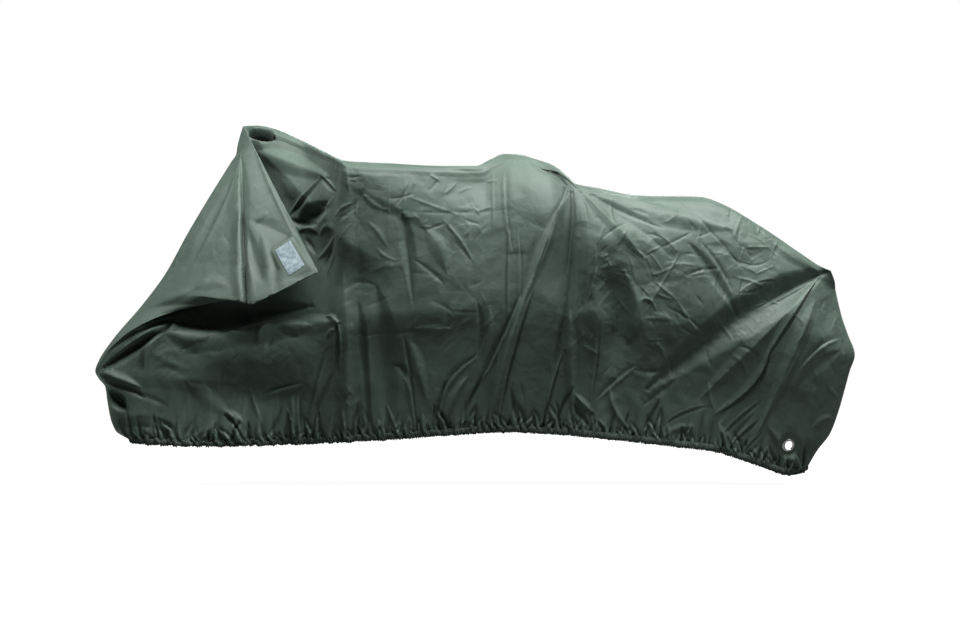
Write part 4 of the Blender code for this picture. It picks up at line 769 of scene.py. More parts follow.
def hemGathers(seed):
    # narrow pleats that rise from the casing, many short ones and some tall ones that lean together in pairs
    rng = np.random.default_rng(seed)
    made = []
    line = cover["hemLine"]
    for low, high, short, tall, thin, thick, push in zip(*gathers["sizes"].values()):
        x = line["x"][0] + 1.0
        while x < line["x"][-1] - 1.0:
            z = np.interp(x, line["x"], line["z"])
            up, wide = rng.uniform(short, tall), rng.uniform(thin, thick)
            lean = math.radians(gathers["lean"] * rng.normal())
            out = push * rng.uniform(*gathers["depths"]) * upOrDown(rng, gathers["outwardShare"])
            topX, topZ = x + up * math.sin(lean), z + up * math.cos(lean)
            footZ, kneeZ = z - gathers["foot"] * up, z + gathers["knee"] * up
            # each gather is a bent line by its foot, knee and top
            footX, kneeX = x - gathers["footBack"] * (topX - x), x + gathers["kneeAhead"] * (topX - x)
            made.append((footX, footZ, kneeX, kneeZ, topX, topZ, wide, out, 1))
            if tall > gathers["pairsFrom"] and rng.random() < gathers["pairShare"]:
                side = rng.uniform(*gathers["pairGaps"]) * upOrDown(rng)
                made.append((x + side * gathers["secondFoot"], footZ, x + side * gathers["secondKnee"], kneeZ,
                             topX, topZ, wide, out, 1))
                made.append((x + side * gathers["betweenFoot"], footZ,
                             x + side * gathers["betweenKnee"], kneeZ, topX, topZ - gathers["betweenDrop"] * up,
                             abs(side) * gathers["betweenWide"], -out * gathers["betweenDeep"], 0))
            x += rng.uniform(low, high)
    return table("x0 z0 x1 z1 x2 z2 wide out kind", *made)


def gatherDepth(wall, seed):
    low = wall[-1]
    run = np.concatenate([[0], np.cumsum(np.hypot(*np.diff(low[:, [0, 2]], axis=0).T))])
    above = np.hypot(wall[..., 0] - low[None, :, 0], wall[..., 2] - low[None, :, 2])
    ends = softStep(run / gathers["endRun"]) * softStep((run[-1] - run) / gathers["endRun"])
    clear = softStep((above - gathers["clearFrom"]) / (gathers["clearTo"] - gathers["clearFrom"]))
    return foldDepth(wall, hemGathers(seed)) * ends[None, :] * clear


# mouth of the fold at the peak: the cloth goes back and down inside it
pocket = {"x": -75.8, "z": 119.9, "wide": 5.2, "high": 2.0, "slope": 0.22, "back": 4.5, "down": 10.0,
          "rim": 1.4, "shade": 10}


def pocketShare(points):
    u = (points[..., 0] - pocket["x"]) / pocket["wide"]
    v = (points[..., 2] - pocket["z"] + (points[..., 0] - pocket["x"]) * pocket["slope"]) / pocket["high"]
    return softStep(pocket["rim"] * (1 - u * u - v * v))


heights = np.linspace(0, 1, cover["rows"] + 1) ** cover["rowPower"]
shares = np.linspace(0, 1, cover["bodyColumns"] + 1)
topCurve, frontCurve = along(cover["topLine"], shares), along(cover["frontEdge"], heights)
outer, under, root = pleat(heights)
near = sideWall(-1, topCurve, root, heights)
far = sideWall(1, topCurve, frontCurve, heights)

# folds fade to the edges that both sides share
topEase, tailEase = softStep(heights / cover["topEase"]), quarterRound((1 - shares) / cover["edgeRound"])
ease = topEase[:, None] * tailEase[None, :]
nose = np.where(heights[:, None] < flapEnd, 1, quarterRound(shares / cover["edgeRound"])[None, :])
seeds = cover["seeds"]
nearOut, farOut = gridNormals(near, -1), gridNormals(far, 1)
nearLift = foldDepth(near, cover["folds"])
nearLift += (foldDepth(near, strewCreases(cover["strewn"], seeds["strewn"]))
             + crushedLift(near, cover["facets"], seeds["nearFacets"]))
near = near + nearOut * ((nearLift * nose + gatherDepth(near, seeds["nearGathers"])) * ease)[..., None]
inPocket = pocketShare(near)
near = near + (inPocket * ease)[..., None] * np.array([0, pocket["back"], -pocket["down"]])
farLift = foldDepth(far, cover["farFolds"]) + crushedLift(far, cover["facets"], seeds["farFacets"])
far = far + farOut * ((farLift + gatherDepth(far, seeds["farGathers"])) * ease)[..., None]
far[:, 0], far[:, -1], near[:, -1] = frontCurve[:, [0, 2, 1]], near[:, -1], near[:, -1]
outer[:, 0] = far[:, 0]
near[:, 0] = under[:, -1]
print("cloth shaped")


# places of the fittings, and the cloth flat under them
def cadFrame(node):
    # centre, normal and long direction of a flat CAD piece
    spots = np.array([v.co[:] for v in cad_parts[node].data.vertices])
    spots = np.unique(spots.round(6), axis=0)
    centre = (spots.min(axis=0) + spots.max(axis=0)) / 2
    if node.startswith("eyelet"):
        centre = spots.mean(axis=0)
    _, _, axes = np.linalg.svd(spots - spots.mean(axis=0), full_matrices=False)
    return centre, axes[2], axes[0]


def facing(place, side):
    # the same place, with its normal turned to that side of the cover
    centre, normal, long = place
    return centre, normal * (1 if normal[1] * side > 0 else -1), long


def flatten(points, centre, normal, flat, blend, half=(0, 0), axes=None):
    offset = points - centre
    through = offset @ normal
    if axes is None:
        away = np.linalg.norm(offset - through[..., None] * normal, axis=-1)
    else:
        out = np.maximum(np.abs(offset @ np.array(axes).T) - np.array(half), 0)
        away = np.hypot(out[..., 0], out[..., 1])
    keep = softStep((away - flat) / (blend - flat))
    near = np.abs(through) < eyelet["sameWall"]
    return points - (through * (1 - keep) * near)[..., None] * normal


def toFrame(points):
    return (points - groundOrigin) * cm


eyelet = {
    "bore": 0.0158, "lip": 0.0222, "rise": 0.0018, "foot": 0.0006, "rim": 0.0002, "rimBevel": 0.0003,
    "crownFrom": 0.12, "crownRun": 0.80, "crownPower": 0.7, "crownSteps": 9,
    "backShare": 0.8, "ringSteps": 96,
    # the cloth round the ring: its hole, where it is flat, and how far off the same wall still counts
    "hole": 0.0182, "edge": 0.035, "flat": 0.030, "blend": 0.050, "through": 0.01, "sameWall": 0.08,
}
label = {
    "width": 0.062, "length": 0.124, "turn": -8, "thick": 0.0010, "corner": 0.004, "leastCorner": 0.0004,
    "lift": 0.0005, "flat": 0.008, "blend": 0.026, "ringPoints": 120, "cornerSteps": 6,
    # rings of the patch from its edge inwards: how far in, and height
    "rings": ((0, 0), (0, 0.0007), (0.0004, 0.00105), (0.0014, 0.00125), (0.0026, 0.00095), (0.0036, 0.0012),
              (0.007, 0.00135), (0.012, 0.00125), (0.018, 0.00135), (0.024, 0.00125), (0.030, 0.0013)),
    "wave": 0.00018, "waveFrom": 0.003, "waveAcross": 260, "waveAlong": 190,
    "sewInset": 0.0030, "sewPitch": 0.0040, "sewUp": 0.0012, "sewLength": 0.0028, "sewThick": 0.00035,
}
nearEyelet = facing(cadFrame("eyelet_near"), -1)
farEyelet = facing(cadFrame("eyelet_far"), 1)
labelCentre, labelNormal, labelLong = facing(cadFrame("label"), -1)
labelLong = labelLong * (-1 if labelLong[2] < 0 else 1)
labelWide = np.cross(labelLong, labelNormal)
turned = math.radians(label["turn"])
labelLong, labelWide = (labelLong * math.cos(turned) + labelWide * math.sin(turned),
                        labelWide * math.cos(turned) - labelLong * math.sin(turned))
labelFoot = labelCentre - labelNormal * (label["thick"] / 2)
clothUnderLabel = labelCentre - labelNormal * (label["lift"] + label["thick"] / 2)

# spare cloth that the settling below has to fold away
slack = {
    "plain": 0.0008,
    "fans": table("x z reach slack",   # folds that run outward from a place where the cloth hangs
        (-45, 108, 34, 0.009), (8, 108, 30, 0.008), (32, 100, 46, 0.015), (118, 72, 60, 0.015),
        (75, 98, 30, 0.003), (-49, 55, 26, 0.014)),
    "patches": table("x z wide high lean across",   # folds that lean over from upright by an angle
        (-12, 85, 26, 20, 10, 0.001), (72, 72, 26, 20, -40, 0.002), (-15, 45, 40, 26, 8, 0.010),
        (30, 45, 30, 30, 16, 0.014), (-85, 36, 34, 18, 80, 0.007), (70, 38, 36, 22, -42, 0.010),
        (118, 40, 16, 30, -8, 0.008)),
    "hem": table("reach slack", (1.8, 0.20), (5.0, 0.09), (14.0, 0.03)),
    # coarse cloth first, then finer
    "rounds": table("skip passes bend hold",
        (4, 260, 0.05, 0.006), (2, 200, 0.04, 0.004), (1, 90, 0.03, 0.002)),
    "farRounds": table("skip passes bend hold", (4, 220, 0.05, 0.006), (2, 140, 0.04, 0.004)),
    "shear": 0.6, "startWaves": 0.1, "fanClear": 4,
    # how free the flap, its edge and the tuck are, and how much of the spare cloth they take
    "edgeColumns": 3, "edgeFree": 0.3, "tuckFree": 0.15, "flapShare": 0.8, "tuckShare": 0.1,
    "rootColumns": 12, "rootShare": 0.2, "quietRows": 6, "lastRows": (0.8, 0.5, 0.25),
}


def threadSlack(start, end, share):
    # how much longer each thread is than the gap that it spans
    run = end - start
    way = run / np.maximum(np.linalg.norm(run, axis=-1, keepdims=True), 1e-9)
    x, z = (start[..., 0] + end[..., 0]) / 2, (start[..., 2] + end[..., 2]) / 2
    total = np.full(x.shape, slack["plain"])
    for cx, cz, reach, amount in zip(*slack["fans"].values()):
        dx, dz = x - cx, z - cz
        away = np.hypot(dx, dz) + 1e-6
        across = (way[..., 2] * dx - way[..., 0] * dz) / away
        clear = 1 - np.exp(-(away / slack["fanClear"]) ** 2)
        total += amount * np.exp(-(away / reach) ** 2) * clear * across ** 2
    for cx, cz, wide, high, lean, across in zip(*slack["patches"].values()):
        blob = np.exp(-((x - cx) / wide) ** 2 - ((z - cz) / high) ** 2)
        c, s = math.cos(math.radians(lean)), math.sin(math.radians(lean))
        total += blob * across * (way[..., 0] * c - way[..., 2] * s) ** 2
    hemHeight = np.interp(x, cover["hemLine"]["x"], cover["hemLine"]["z"])
    uneven = (0.95 + 0.35 * np.sin(x / 2.9 + 2.2 * np.sin(x / 7.1))
              + 0.30 * np.sin(x / 1.3 + 1.7 * np.sin(x / 4.3)))
    for reach, amount in zip(*slack["hem"].values()):
        total += amount * uneven * np.exp(-np.maximum(z - hemHeight, 0) / reach) * way[..., 0] ** 2
    return total * share


def finer(values):
    for axis in (0, 1):
        values = np.moveaxis(values, axis, 0)
        made = np.empty((2 * len(values) - 1,) + values.shape[1:])
        made[::2] = values
        made[1::2] = (values[:-1] + values[1:]) / 2
        values = np.moveaxis(made, 0, axis)
    return values


def threadEnds():
    # where the threads of each direction start and end, and how firm they are: across, down and both slants;
    # odd and even ones take turns, so that no point is pulled by two of them at once
    every, notLast, notFirst = slice(None), slice(0, -1), slice(1, None)
    for odd in (0, 1):
        yield (every, slice(odd, -1, 2)), (every, slice(odd + 1, None, 2)), 1.0
    for here, there, firm in ((every, every, 1.0), (notLast, notFirst, slack["shear"]),
                              (notFirst, notLast, slack["shear"])):
        for odd in (0, 1):
            yield (slice(odd, -1, 2), here), (slice(odd + 1, None, 2), there), firm


def startWaves(base, loose, outward, rng):
    # a faint unevenness, from which the folds grow
    waves = rng.normal(size=base.shape[:2])
    for _ in range(2):
        waves = smoothGrid(waves)
    return gridNormals(base, outward) * (waves * slack["startWaves"] / waves.std() * loose)[..., None]


def pullThreads(spot, links):
    for a, b, rest, firm, looseA, looseB in links:
        first, second = spot[a], spot[b]
        gap = second - first
        length = np.sqrt(np.einsum("ijk,ijk->ij", gap, gap)) + 1e-9
        gap *= ((length - rest) / length * firm)[..., None]
        first += gap * looseA[..., None]
        second -= gap * looseB[..., None]


def settle(shape, free, share, rounds, outward, seed):
    # the cloth folds until each thread has its own length again; free is 0 where it is held
    rng = np.random.default_rng(seed)
    moved = None
    for skip, passes, bend, hold in zip(*rounds.values()):
        skip = int(skip)
        base, loose, part = shape[::skip, ::skip], free[::skip, ::skip], share[::skip, ::skip]
        if moved is None:
            moved = startWaves(base, loose, outward, rng)
        while moved.shape[0] < base.shape[0]:
            moved = finer(moved)
        links = []
        for a, b, firm in threadEnds():
            longer = 1 + threadSlack(base[a], base[b], (part[a] + part[b]) / 2)
            length = np.linalg.norm(base[b] - base[a], axis=-1) * longer
            links.append((a, b, length, firm * 0.5, loose[a], loose[b]))
        for _ in range(int(passes)):
            spot = base + moved
            pullThreads(spot, links)
            moved = spot - base
            flat = smoothGrid(moved) - moved
            moved -= (smoothGrid(flat) - flat) * (bend * loose)[..., None]
            moved *= (1 - hold * (2 - loose))[..., None]
    while moved.shape[0] < shape.shape[0]:
        moved = finer(moved)
    return shape + moved


def heldNear():
    free = np.ones((len(heights), outer.shape[1] + under.shape[1] + near.shape[1] - 1))
    share = np.ones_like(free)
    flap, tuck = outer.shape[1], outer.shape[1] + under.shape[1]
    free[:, flap:tuck] = slack["tuckFree"]
    free[:, flap - slack["edgeColumns"]:flap + slack["edgeColumns"]] = slack["edgeFree"]
    share[:, :flap], share[:, flap:tuck] = slack["flapShare"], slack["tuckShare"]
    ramp = np.linspace(slack["rootShare"], 1, slack["rootColumns"])
    share[:, tuck:tuck + slack["rootColumns"]] *= ramp[None, :]
    return free, share


def quietEdges(free, share):
    # the top line and both ends are shared by the two sides, so they stay where they are
    ramp = softStep(np.arange(free.shape[0]) / slack["quietRows"])
    ramp[-3:] = slack["lastRows"]
    free *= ramp[:, None]
    side = softStep(np.arange(free.shape[1]) / slack["quietRows"])
    free *= side[None, :] * side[None, ::-1]
    return free, share


whole = np.concatenate([outer, under, near[:, 1:]], axis=1)
whole = settle(whole, *quietEdges(*heldNear()), slack["rounds"], -1, seeds["nearWaves"])
print("near side settled")
free, share = quietEdges(np.ones(far.shape[:2]), np.ones(far.shape[:2]))
far = settle(far, free, share, slack["farRounds"], 1, seeds["farWaves"])
print("far side settled")
outer, under, near = np.split(whole, [outer.shape[1], outer.shape[1] + under.shape[1]], axis=1)
near = np.concatenate([under[:, -1:], near], axis=1)

nearMark = crushedShare(np.concatenate([outer, under, near[:, 1:]], axis=1))
nearMark = cover["plainCrumple"] + cover["crushedCrumple"] * nearMark
farMark = cover["plainCrumple"] + cover["crushedCrumple"] * crushedShare(far)
near, far, outer, under = toFrame(near), toFrame(far), toFrame(outer), toFrame(under)
near = flatten(near, nearEyelet[0], nearEyelet[1], eyelet["flat"], eyelet["blend"])
far = flatten(far, farEyelet[0], farEyelet[1], eyelet["flat"], eyelet["blend"])
outer = flatten(outer, clothUnderLabel, labelNormal, label["flat"], label["blend"],
                (label["width"] / 2, label["length"] / 2), (labelWide, labelLong))
nearAll = np.concatenate([outer, under, near[:, 1:]], axis=1)


def runLengths(points):
    return np.concatenate([[0], np.cumsum(np.linalg.norm(np.diff(points, axis=0), axis=1))])


def ridgeOf(points, outward, sharp):
    # +1 on a sharp ridge, -1 in a sharp valley
    lift = ((points - smoothGrid(points)) * gridNormals(points, outward)).sum(axis=-1)
    return np.clip(smoothGrid(lift) / sharp, -1, 1)


# the sheet as a mesh: its weave runs in metres along the cloth
bm = bmesh.new()
uvLayer = bm.loops.layers.uv.new("UVMap")
crumpleLayer = bm.verts.layers.float.new("crumple")
ridgeLayer = bm.verts.layers.float.new("ridge")
nearRidge = ridgeOf(nearAll, -1, cover["nearSharp"])
farRidge = ridgeOf(far[::2, ::2], 1, cover["farSharp"])
# painted shade: the mouth of the fold at the peak gets a ridge value far below -1, which turns the cloth there
# near black
nearRidge[:, -near.shape[1]:] -= pocket["shade"] * inPocket
nearMark[:, :outer.shape[1]] = cover["flapCrumple"]
middle = cover["rows"] // 2
nearU, farU = runLengths(nearAll[middle]), runLengths(far[middle])
drop = heights * cover["weaveDrop"]


def setUv(face, corners):
    for loop, uv in zip(face.loops, corners):
        loop[uvLayer].uv = uv


verts = [[bm.verts.new(spot) for spot in row] for row in nearAll]
for row, marks, ridges in zip(verts, nearMark, nearRidge):
    for v, mark, ridge in zip(row, marks, ridges):
        v[crumpleLayer], v[ridgeLayer] = mark, ridge
for i in range(len(verts) - 1):
    for j in range(len(verts[0]) - 1):
        spots = ((i, j), (i + 1, j), (i + 1, j + 1), (i, j + 1))
        face = bm.faces.new([verts[a][b] for a, b in spots])
        face.smooth = True
        setUv(face, [(nearU[b], -drop[a]) for a, b in spots])

# the far side has half as many rows and columns, apart from the edges that it shares
farVerts = {}
rows, columns = cover["rows"], cover["bodyColumns"]


def farVert(i, j):
    if (i, j) not in farVerts:
        farVerts[i, j] = bm.verts.new(far[i, j])
        farVerts[i, j][crumpleLayer], farVerts[i, j][ridgeLayer] = farMark[i, j], farRidge[i // 2, j // 2]
    return farVerts[i, j]


for i in range(0, rows, 2):
    for j in range(0, columns, 2):
        spots = [(i, j)]
        if i == 0:
            spots.append((i, j + 1))
        spots.append((i, j + 2))
        if j + 2 == columns:
            spots.append((i + 1, j + 2))
        spots.append((i + 2, j + 2))
        spots.append((i + 2, j))
        if j == 0:
            spots.append((i + 1, j))
        face = bm.faces.new([farVert(*spot) for spot in spots])
        face.smooth = True
        setUv(face, [(-farU[b], -drop[a]) for a, b in spots])
bmesh.ops.remove_doubles(bm, verts=bm.verts, dist=2e-5)
bmesh.ops.dissolve_degenerate(bm, edges=bm.edges, dist=1e-5)


def aroundHole(centre, normal, reach):
    # the points of the cloth that lie close to a ring's middle, each with its offset along the cloth
    for v in bm.verts:
        offset = v.co - centre
        flatOffset = offset - normal * offset.dot(normal)
        if abs(offset.dot(normal)) < eyelet["through"] and flatOffset.length < reach:
            yield v, flatOffset


for place in (nearEyelet, farEyelet):
    centre, normal = Vector(place[0]), Vector(place[1])
    inside = [v for v, _ in aroundHole(centre, normal, eyelet["hole"])]
    bmesh.ops.delete(bm, geom=inside, context="VERTS")
    for v, flatOffset in aroundHole(centre, normal, eyelet["edge"]):
        if v.is_boundary:
            v.co = centre + flatOffset.normalized() * eyelet["hole"]
bmesh.ops.triangulate(bm, faces=bm.faces)
coverMesh = bpy.data.meshes.new("coverSheet")
bm.to_mesh(coverMesh)
bm.free()
coverSheet = bpy.data.objects.new("coverSheet", coverMesh)
scene.collection.objects.link(coverSheet)
coverMesh.materials.append(clothMaterial)


def applyModifiers(item):
    graph = bpy.context.evaluated_depsgraph_get()
    mesh = bpy.data.meshes.new_from_object(item.evaluated_get(graph), depsgraph=graph)
    item.modifiers.clear()
    item.data = mesh
    return item


thin = coverSheet.modifiers.new("thin", "DECIMATE")
thin.ratio = cover["mostTriangles"] / len(coverMesh.polygons)
applyModifiers(coverSheet)
print("cover sheet has", len(coverSheet.data.polygons), "triangles")


# hem casing: a band of the cloth, doubled round the elastic and drawn into small beads, in a darker copy of the
# cloth's colours as painted shade of its gathers
hem = {
    "step": 0.0015, "smoothLine": 30, "smoothUp": 20, "rowsUp": 9, "crumple": 0.2,
    "rufflePitch": 0.0112, "ruffleDepth": 0.0056, "wander": 0.14, "lean": 0.35, "topShare": 0.45,
    "leanDrift": 23.0, "leanSwing": 4.0, "wanderDrift": 31.0, "wanderSwing": 6.0,
    "sizeDrift": 150.0, "sizeSwing": 1.6, "sizeLeast": 0.1, "beadPower": 0.8,
    "stitchLength": 0.0042, "stitchGap": 0.0024, "stitchThick": 0.0005,
    "stitchUp": 0.0085, "stitchOut": 0.0034,
    "profile": table("up out",
        (0.0145, -0.0030), (0.0115, -0.0006), (0.0080, 0.0010), (0.0045, 0.0022), (0.0010, 0.0028),
        (-0.0025, 0.0024), (-0.0050, 0.0010), (-0.0055, -0.0010), (-0.0040, -0.0028), (0.0010, -0.0036),
        (0.0060, -0.0034), (0.0115, -0.0036)),
}


def resample(points, step):
    run = runLengths(points)
    at = np.linspace(0, run[-1], int(run[-1] / step) + 1)
    return np.stack([np.interp(at, run, points[:, k]) for k in range(points.shape[1])], axis=1), at


def unit(vectors):
    return vectors / np.maximum(np.linalg.norm(vectors, axis=-1, keepdims=True), 1e-9)


def smoothLoop(values, times):
    for _ in range(times):
        values = (np.roll(values, 1, axis=0) + 2 * values + np.roll(values, -1, axis=0)) / 4
    return values


loop = np.concatenate([near[-1], far[-1][-2:0:-1], near[-1][:1]])
up = -hem["rowsUp"]
above = np.concatenate([near[up], far[up][-2:0:-1], near[up][:1]])
both, hemAlong = resample(np.concatenate([loop, above], axis=1), hem["step"])
loop, above = smoothLoop(both[:-1, :3], hem["smoothLine"]), smoothLoop(both[:-1, 3:], hem["smoothLine"])
hemRun = unit(np.roll(loop, -1, axis=0) - np.roll(loop, 1, axis=0))
hemUp = above - loop
hemUp = unit(smoothLoop(unit(hemUp - (hemUp * hemRun).sum(1, keepdims=True) * hemRun), hem["smoothUp"]))
hemOut = unit(np.cross(hemRun, hemUp))
if ((loop - loop.mean(axis=0)) * hemOut)[:, 1].mean() < 0:
    hemOut = -hemOut


def meshPiece(name, verts, faces, material, uv=None):
    mesh = bpy.data.meshes.new(name)
    mesh.from_pydata([tuple(v) for v in verts], [], faces)
    mesh.polygons.foreach_set("use_smooth", [True] * len(mesh.polygons))
    mesh.materials.append(material)
    if uv is not None:
        layer = mesh.uv_layers.new(name="UVMap")
        corner = np.empty(len(mesh.loops), int)
        mesh.loops.foreach_get("vertex_index", corner)
        layer.data.foreach_set("uv", np.asarray(uv, float)[corner].ravel())
    item = bpy.data.objects.new(name, mesh)
    scene.collection.objects.link(item)
    return item


def bandFaces(rings, around, closed=True):
    # four-cornered faces between rings of points that follow one another
    faces = []
    for i in range(rings if closed else rings - 1):
        here, there = i * around, (i + 1) % rings * around
        for j in range(around):
            k = (j + 1) % around
            faces.append((here + j, here + k, there + k, there + j))
    return faces


def turnOutwards(item):
    bm = bmesh.new()
    bm.from_mesh(item.data)
    bmesh.ops.recalc_face_normals(bm, faces=bm.faces)
    bmesh.ops.triangulate(bm, faces=[face for face in bm.faces if len(face.verts) > 4])
    bm.to_mesh(item.data)
    bm.free()
    return item


around, count = len(hem["profile"]["up"]), len(loop)
hemPoints = (loop[:, None] + hemUp[:, None] * hem["profile"]["up"][None, :, None]
             + hemOut[:, None] * hem["profile"]["out"][None, :, None])
hemRise = (hem["profile"]["up"] - hem["profile"]["up"].min()) / np.ptp(hem["profile"]["up"])
hemUv = np.stack([np.repeat(hemAlong[:count], around), np.tile(hem["profile"]["up"], count)], axis=1)
hemBand = meshPiece("hemCasing", hemPoints.reshape(-1, 3), bandFaces(count, around), hemShadedMaterial, hemUv)
hemCasing = turnOutwards(hemBand)


def storeValues(item, name, kind, values):
    layer = item.data.attributes.new(name, kind, "POINT")
    layer.data.foreach_set("value" if kind == "FLOAT" else "vector", np.asarray(values, float).ravel())


storeValues(hemCasing, "along", "FLOAT", np.repeat(hemAlong[:count], around))
storeValues(hemCasing, "rise", "FLOAT", np.tile(hemRise, count))
storeValues(hemCasing, "crumple", "FLOAT", np.full(count * around, hem["crumple"]))


class Plan:
    # a geometry node tree written as short calls
    def __init__(self, name, sockets):
        self.tree = bpy.data.node_groups.new(name, "GeometryNodeTree")
        sides = self.tree.interface
        sides.new_socket("Geometry", in_out="INPUT", socket_type="NodeSocketGeometry")
        self.names = {}
        for socketName, (kind, value) in sockets.items():
            made = sides.new_socket(socketName, in_out="INPUT", socket_type="NodeSocket" + kind)
            made.default_value = value
            self.names[socketName] = made.identifier
        sides.new_socket("Geometry", in_out="OUTPUT", socket_type="NodeSocketGeometry")
        self.start = self.tree.nodes.new("NodeGroupInput")
        self.end = self.tree.nodes.new("NodeGroupOutput")

    def add(self, kind, settings, inputs, out=0):
        made = self.tree.nodes.new(kind)
        for key, value in settings.items():
            setattr(made, key, value)
        for key, value in inputs.items():
            if isinstance(value, bpy.types.NodeSocket):
                self.tree.links.new(value, made.inputs[key])
            else:
                made.inputs[key].default_value = value
        return made.outputs[out]

    def maths(self, operation, *values):
        return self.add("ShaderNodeMath", {"operation": operation}, dict(enumerate(values)))

    def finish(self, geometry, material):
        real = self.add("GeometryNodeRealizeInstances", {}, {"Geometry": geometry})
        painted = self.add("GeometryNodeSetMaterial", {}, {"Geometry": real, "Material": material})
        self.tree.links.new(painted, self.end.inputs[0])

    def run(self, item, **values):
        changer = item.modifiers.new(self.tree.name, "NODES")
        changer.node_group = self.tree
        for socketName, value in values.items():
            changer[self.names[socketName]] = value
        return applyModifiers(item)


def rufflePlan():
    plan = Plan("hemRuffles", {"pitch": ("Float", 0.01), "depth": ("Float", 0.002), "wander": ("Float", 0.5),
                               "lean": ("Float", 0.3), "topShare": ("Float", 0.5)})
    start, maths = plan.start.outputs, plan.maths
    run = plan.add("GeometryNodeInputNamedAttribute", {"data_type": "FLOAT"}, {"Name": "along"})
    rise = plan.add("GeometryNodeInputNamedAttribute", {"data_type": "FLOAT"}, {"Name": "rise"})

    def drift(scale):
        return plan.add("ShaderNodeTexNoise", {"noise_dimensions": "1D"},
                        {"W": run, "Scale": scale, "Detail": 1.0})

    # each bead is half a sine wave, with its own lean, width and size, and it fades to the top of the casing
    lean = maths("MULTIPLY", maths("SUBTRACT", drift(hem["leanDrift"]), 0.5), hem["leanSwing"])
    tilt = maths("MULTIPLY", lean, maths("MULTIPLY", rise, start["lean"]))
    swing = maths("MULTIPLY", drift(hem["wanderDrift"]), hem["wanderSwing"])
    wander = maths("MULTIPLY", swing, start["wander"])
    phase = maths("ADD", maths("ADD", maths("DIVIDE", run, start["pitch"]), tilt), wander)
    wave = maths("ABSOLUTE", maths("SINE", maths("MULTIPLY", phase, math.pi)))
    bead = maths("POWER", wave, hem["beadPower"])
    size = maths("ADD", maths("MULTIPLY", drift(hem["sizeDrift"]), hem["sizeSwing"]), hem["sizeLeast"])
    fade = maths("SUBTRACT", 1.0, maths("MULTIPLY", rise, maths("SUBTRACT", 1.0, start["topShare"])))
    push = maths("MULTIPLY", maths("MULTIPLY", maths("MULTIPLY", bead, size), fade), start["depth"])
    normal = plan.add("GeometryNodeInputNormal", {}, {})
    offset = plan.add("ShaderNodeVectorMath", {"operation": "SCALE"}, {0: normal, "Scale": push})
    moved = plan.add("GeometryNodeSetPosition", {}, {"Geometry": start["Geometry"], "Offset": offset})
    plan.finish(moved, hemShadedMaterial)
    return plan


def stitchPlan(name, material):
    plan = Plan(name, {"length": ("Float", 0.004), "thick": ("Float", 0.0006)})
    start = plan.start.outputs
    points = plan.add("GeometryNodeMeshToPoints", {}, {"Mesh": start["Geometry"]})
    run = plan.add("GeometryNodeInputNamedAttribute", {"data_type": "FLOAT_VECTOR"}, {"Name": "run"})
    face = plan.add("GeometryNodeInputNamedAttribute", {"data_type": "FLOAT_VECTOR"}, {"Name": "face"})
    turned = plan.add("FunctionNodeAxesToRotation", {"primary_axis": "Z", "secondary_axis": "X"},
                      {"Primary Axis": face, "Secondary Axis": run})
    bead = plan.add("GeometryNodeMeshIcoSphere", {}, {"Radius": 1.0, "Subdivisions": 2})
    half = plan.maths("MULTIPLY", start["length"], 0.5)
    size = plan.add("ShaderNodeCombineXYZ", {}, {"X": half, "Y": start["thick"], "Z": start["thick"]})
    placed = plan.add("GeometryNodeInstanceOnPoints", {}, {"Points": points, "Instance": bead,
                                                          "Rotation": turned, "Scale": size})
    plan.finish(placed, material)
    return plan


def stitchPiece(name, treeName, material, spots, run, face, length, thick):
    piece = meshPiece(name, spots, [], material)
    storeValues(piece, "run", "FLOAT_VECTOR", run)
    storeValues(piece, "face", "FLOAT_VECTOR", face)
    stitchPlan(treeName, material).run(piece, length=length, thick=thick)
    piece.data.polygons.foreach_set("use_smooth", [True] * len(piece.data.polygons))
    return piece


rufflePlan().run(hemCasing, pitch=hem["rufflePitch"], depth=hem["ruffleDepth"], wander=hem["wander"],
                 lean=hem["lean"], topShare=hem["topShare"])
print("hem ruffled")

# one row of stitches above the casing
every = max(1, round((hem["stitchLength"] + hem["stitchGap"]) / hem["step"]))
stitchSpots = (loop + hemUp * hem["stitchUp"] + hemOut * hem["stitchOut"])[::every]
hemStitches = stitchPiece("hemStitches", "stitches", threadMaterial, stitchSpots, hemRun[::every],
                          hemOut[::every], hem["stitchLength"], hem["stitchThick"])


# eyelets: pressed rings of thin bright metal
def spinRing(name, profile, place, material):
    centre, normal = Vector(place[0]), Vector(place[1])
    turned = Vector((0, 0, 1)).rotation_difference(normal).to_matrix()
    verts = []
    for i in range(eyelet["ringSteps"]):
        angle = 2 * math.pi * i / eyelet["ringSteps"]
        verts += [centre + turned @ Vector((r * math.cos(angle), r * math.sin(angle), h)) for r, h in profile]
    return turnOutwards(meshPiece(name, verts, bandFaces(eyelet["ringSteps"], len(profile)), material))


def eyeletProfile():
    # a rounded crown on both faces of the cloth
    bore, lip = eyelet["bore"], eyelet["lip"]
    crown = []
    for v in np.linspace(0, 1, eyelet["crownSteps"]):
        arch = math.sin(math.pi * (eyelet["crownFrom"] + eyelet["crownRun"] * v)) ** eyelet["crownPower"]
        crown.append((bore + (lip - bore) * v, eyelet["foot"] + eyelet["rise"] * arch))
    back = [(r, -h * eyelet["backShare"]) for r, h in reversed(crown)]
    return crown + [(lip, eyelet["rim"]), (lip - eyelet["rimBevel"], -eyelet["rim"])] + back[1:]


eyeletNear = spinRing("eyeletNear", eyeletProfile(), nearEyelet, nickelMaterial)
eyeletFar = spinRing("eyeletFar", eyeletProfile(), farEyelet, nickelMaterial)


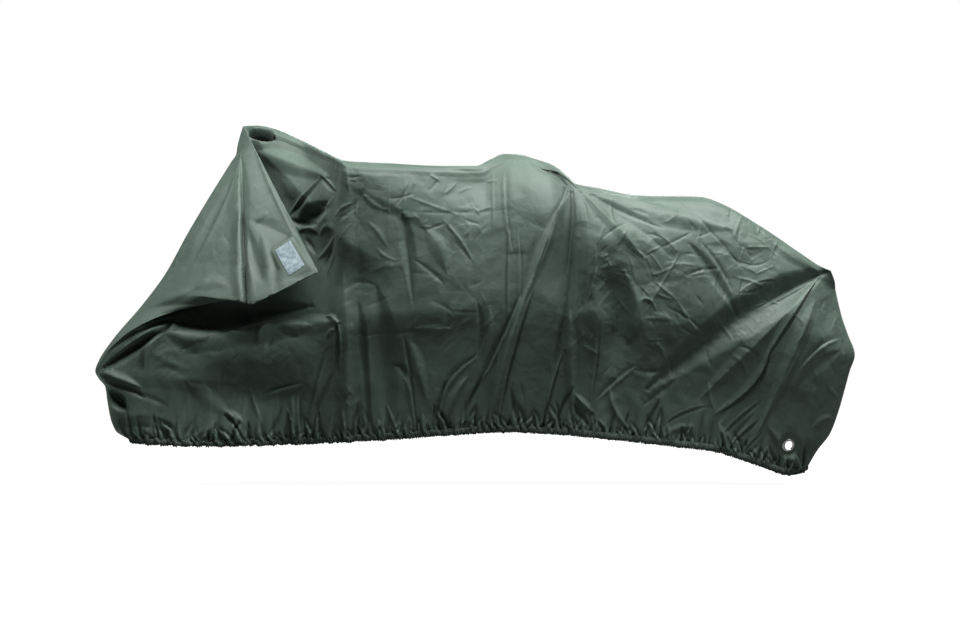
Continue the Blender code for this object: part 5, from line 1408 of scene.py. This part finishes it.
# label: a bare satin patch, its edges turned under and sewn round
def labelOutline(inset):
    past = max(inset - label["corner"], 0)
    halfWide = label["width"] / 2 - label["corner"] - past
    halfLong = label["length"] / 2 - label["corner"] - past
    radius = max(label["corner"] - inset, label["leastCorner"])
    spots = []
    for k, (u, v) in enumerate(((1, 1), (-1, 1), (-1, -1), (1, -1))):
        for i in range(label["cornerSteps"] + 1):
            angle = math.pi / 2 * (k + i / label["cornerSteps"])
            spots.append((u * halfWide + radius * math.cos(angle), v * halfLong + radius * math.sin(angle)))
    return np.array(spots + spots[:1])


def makeLabel():
    ringPoints, verts, uv = label["ringPoints"], [], []
    for inset, height in label["rings"]:
        outline = labelOutline(inset)
        run = runLengths(outline)
        at = np.linspace(0, run[-1], ringPoints, endpoint=False)
        ring = np.stack([np.interp(at, run, outline[:, k]) for k in range(2)], axis=1)
        size = label["wave"] if inset > label["waveFrom"] else 0
        for u, v in ring:
            wave = size * math.sin(u * label["waveAcross"] + 1) * math.sin(v * label["waveAlong"])
            verts.append(labelFoot + labelWide * u + labelLong * v + labelNormal * (height + wave))
            uv.append((u, v))
    faces = [tuple(range(ringPoints - 1, -1, -1))]
    faces += bandFaces(len(label["rings"]), ringPoints, closed=False)
    faces.append(tuple(range(len(verts) - ringPoints, len(verts))))
    return turnOutwards(meshPiece("labelPatch", verts, faces, labelMaterial, uv))


labelPatch = makeLabel()
sewEven = resample(labelOutline(label["sewInset"]), label["sewPitch"])[0][:-1]
sewRun = unit(np.roll(sewEven, -1, axis=0) - np.roll(sewEven, 1, axis=0))
sewSpots = labelFoot + sewEven[:, :1] * labelWide + sewEven[:, 1:] * labelLong + labelNormal * label["sewUp"]
labelStitches = stitchPiece("labelStitches", "labelSewing", paleThread, sewSpots,
                            sewRun[:, :1] * labelWide + sewRun[:, 1:] * labelLong,
                            np.tile(labelNormal, (len(sewEven), 1)), label["sewLength"], label["sewThick"])
print("fittings made")


for piece, slot in ((coverSheet, "cover_cloth"), (hemCasing, "cover_cloth"), (hemStitches, "cover_cloth"),
                    (labelPatch, "label_cloth"), (labelStitches, "label_cloth"),
                    (eyeletNear, "eyelet_metal"), (eyeletFar, "eyelet_metal")):
    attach(piece, "root")
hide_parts("cover")
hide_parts("label")
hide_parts("eyelet_near")
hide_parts("eyelet_far")
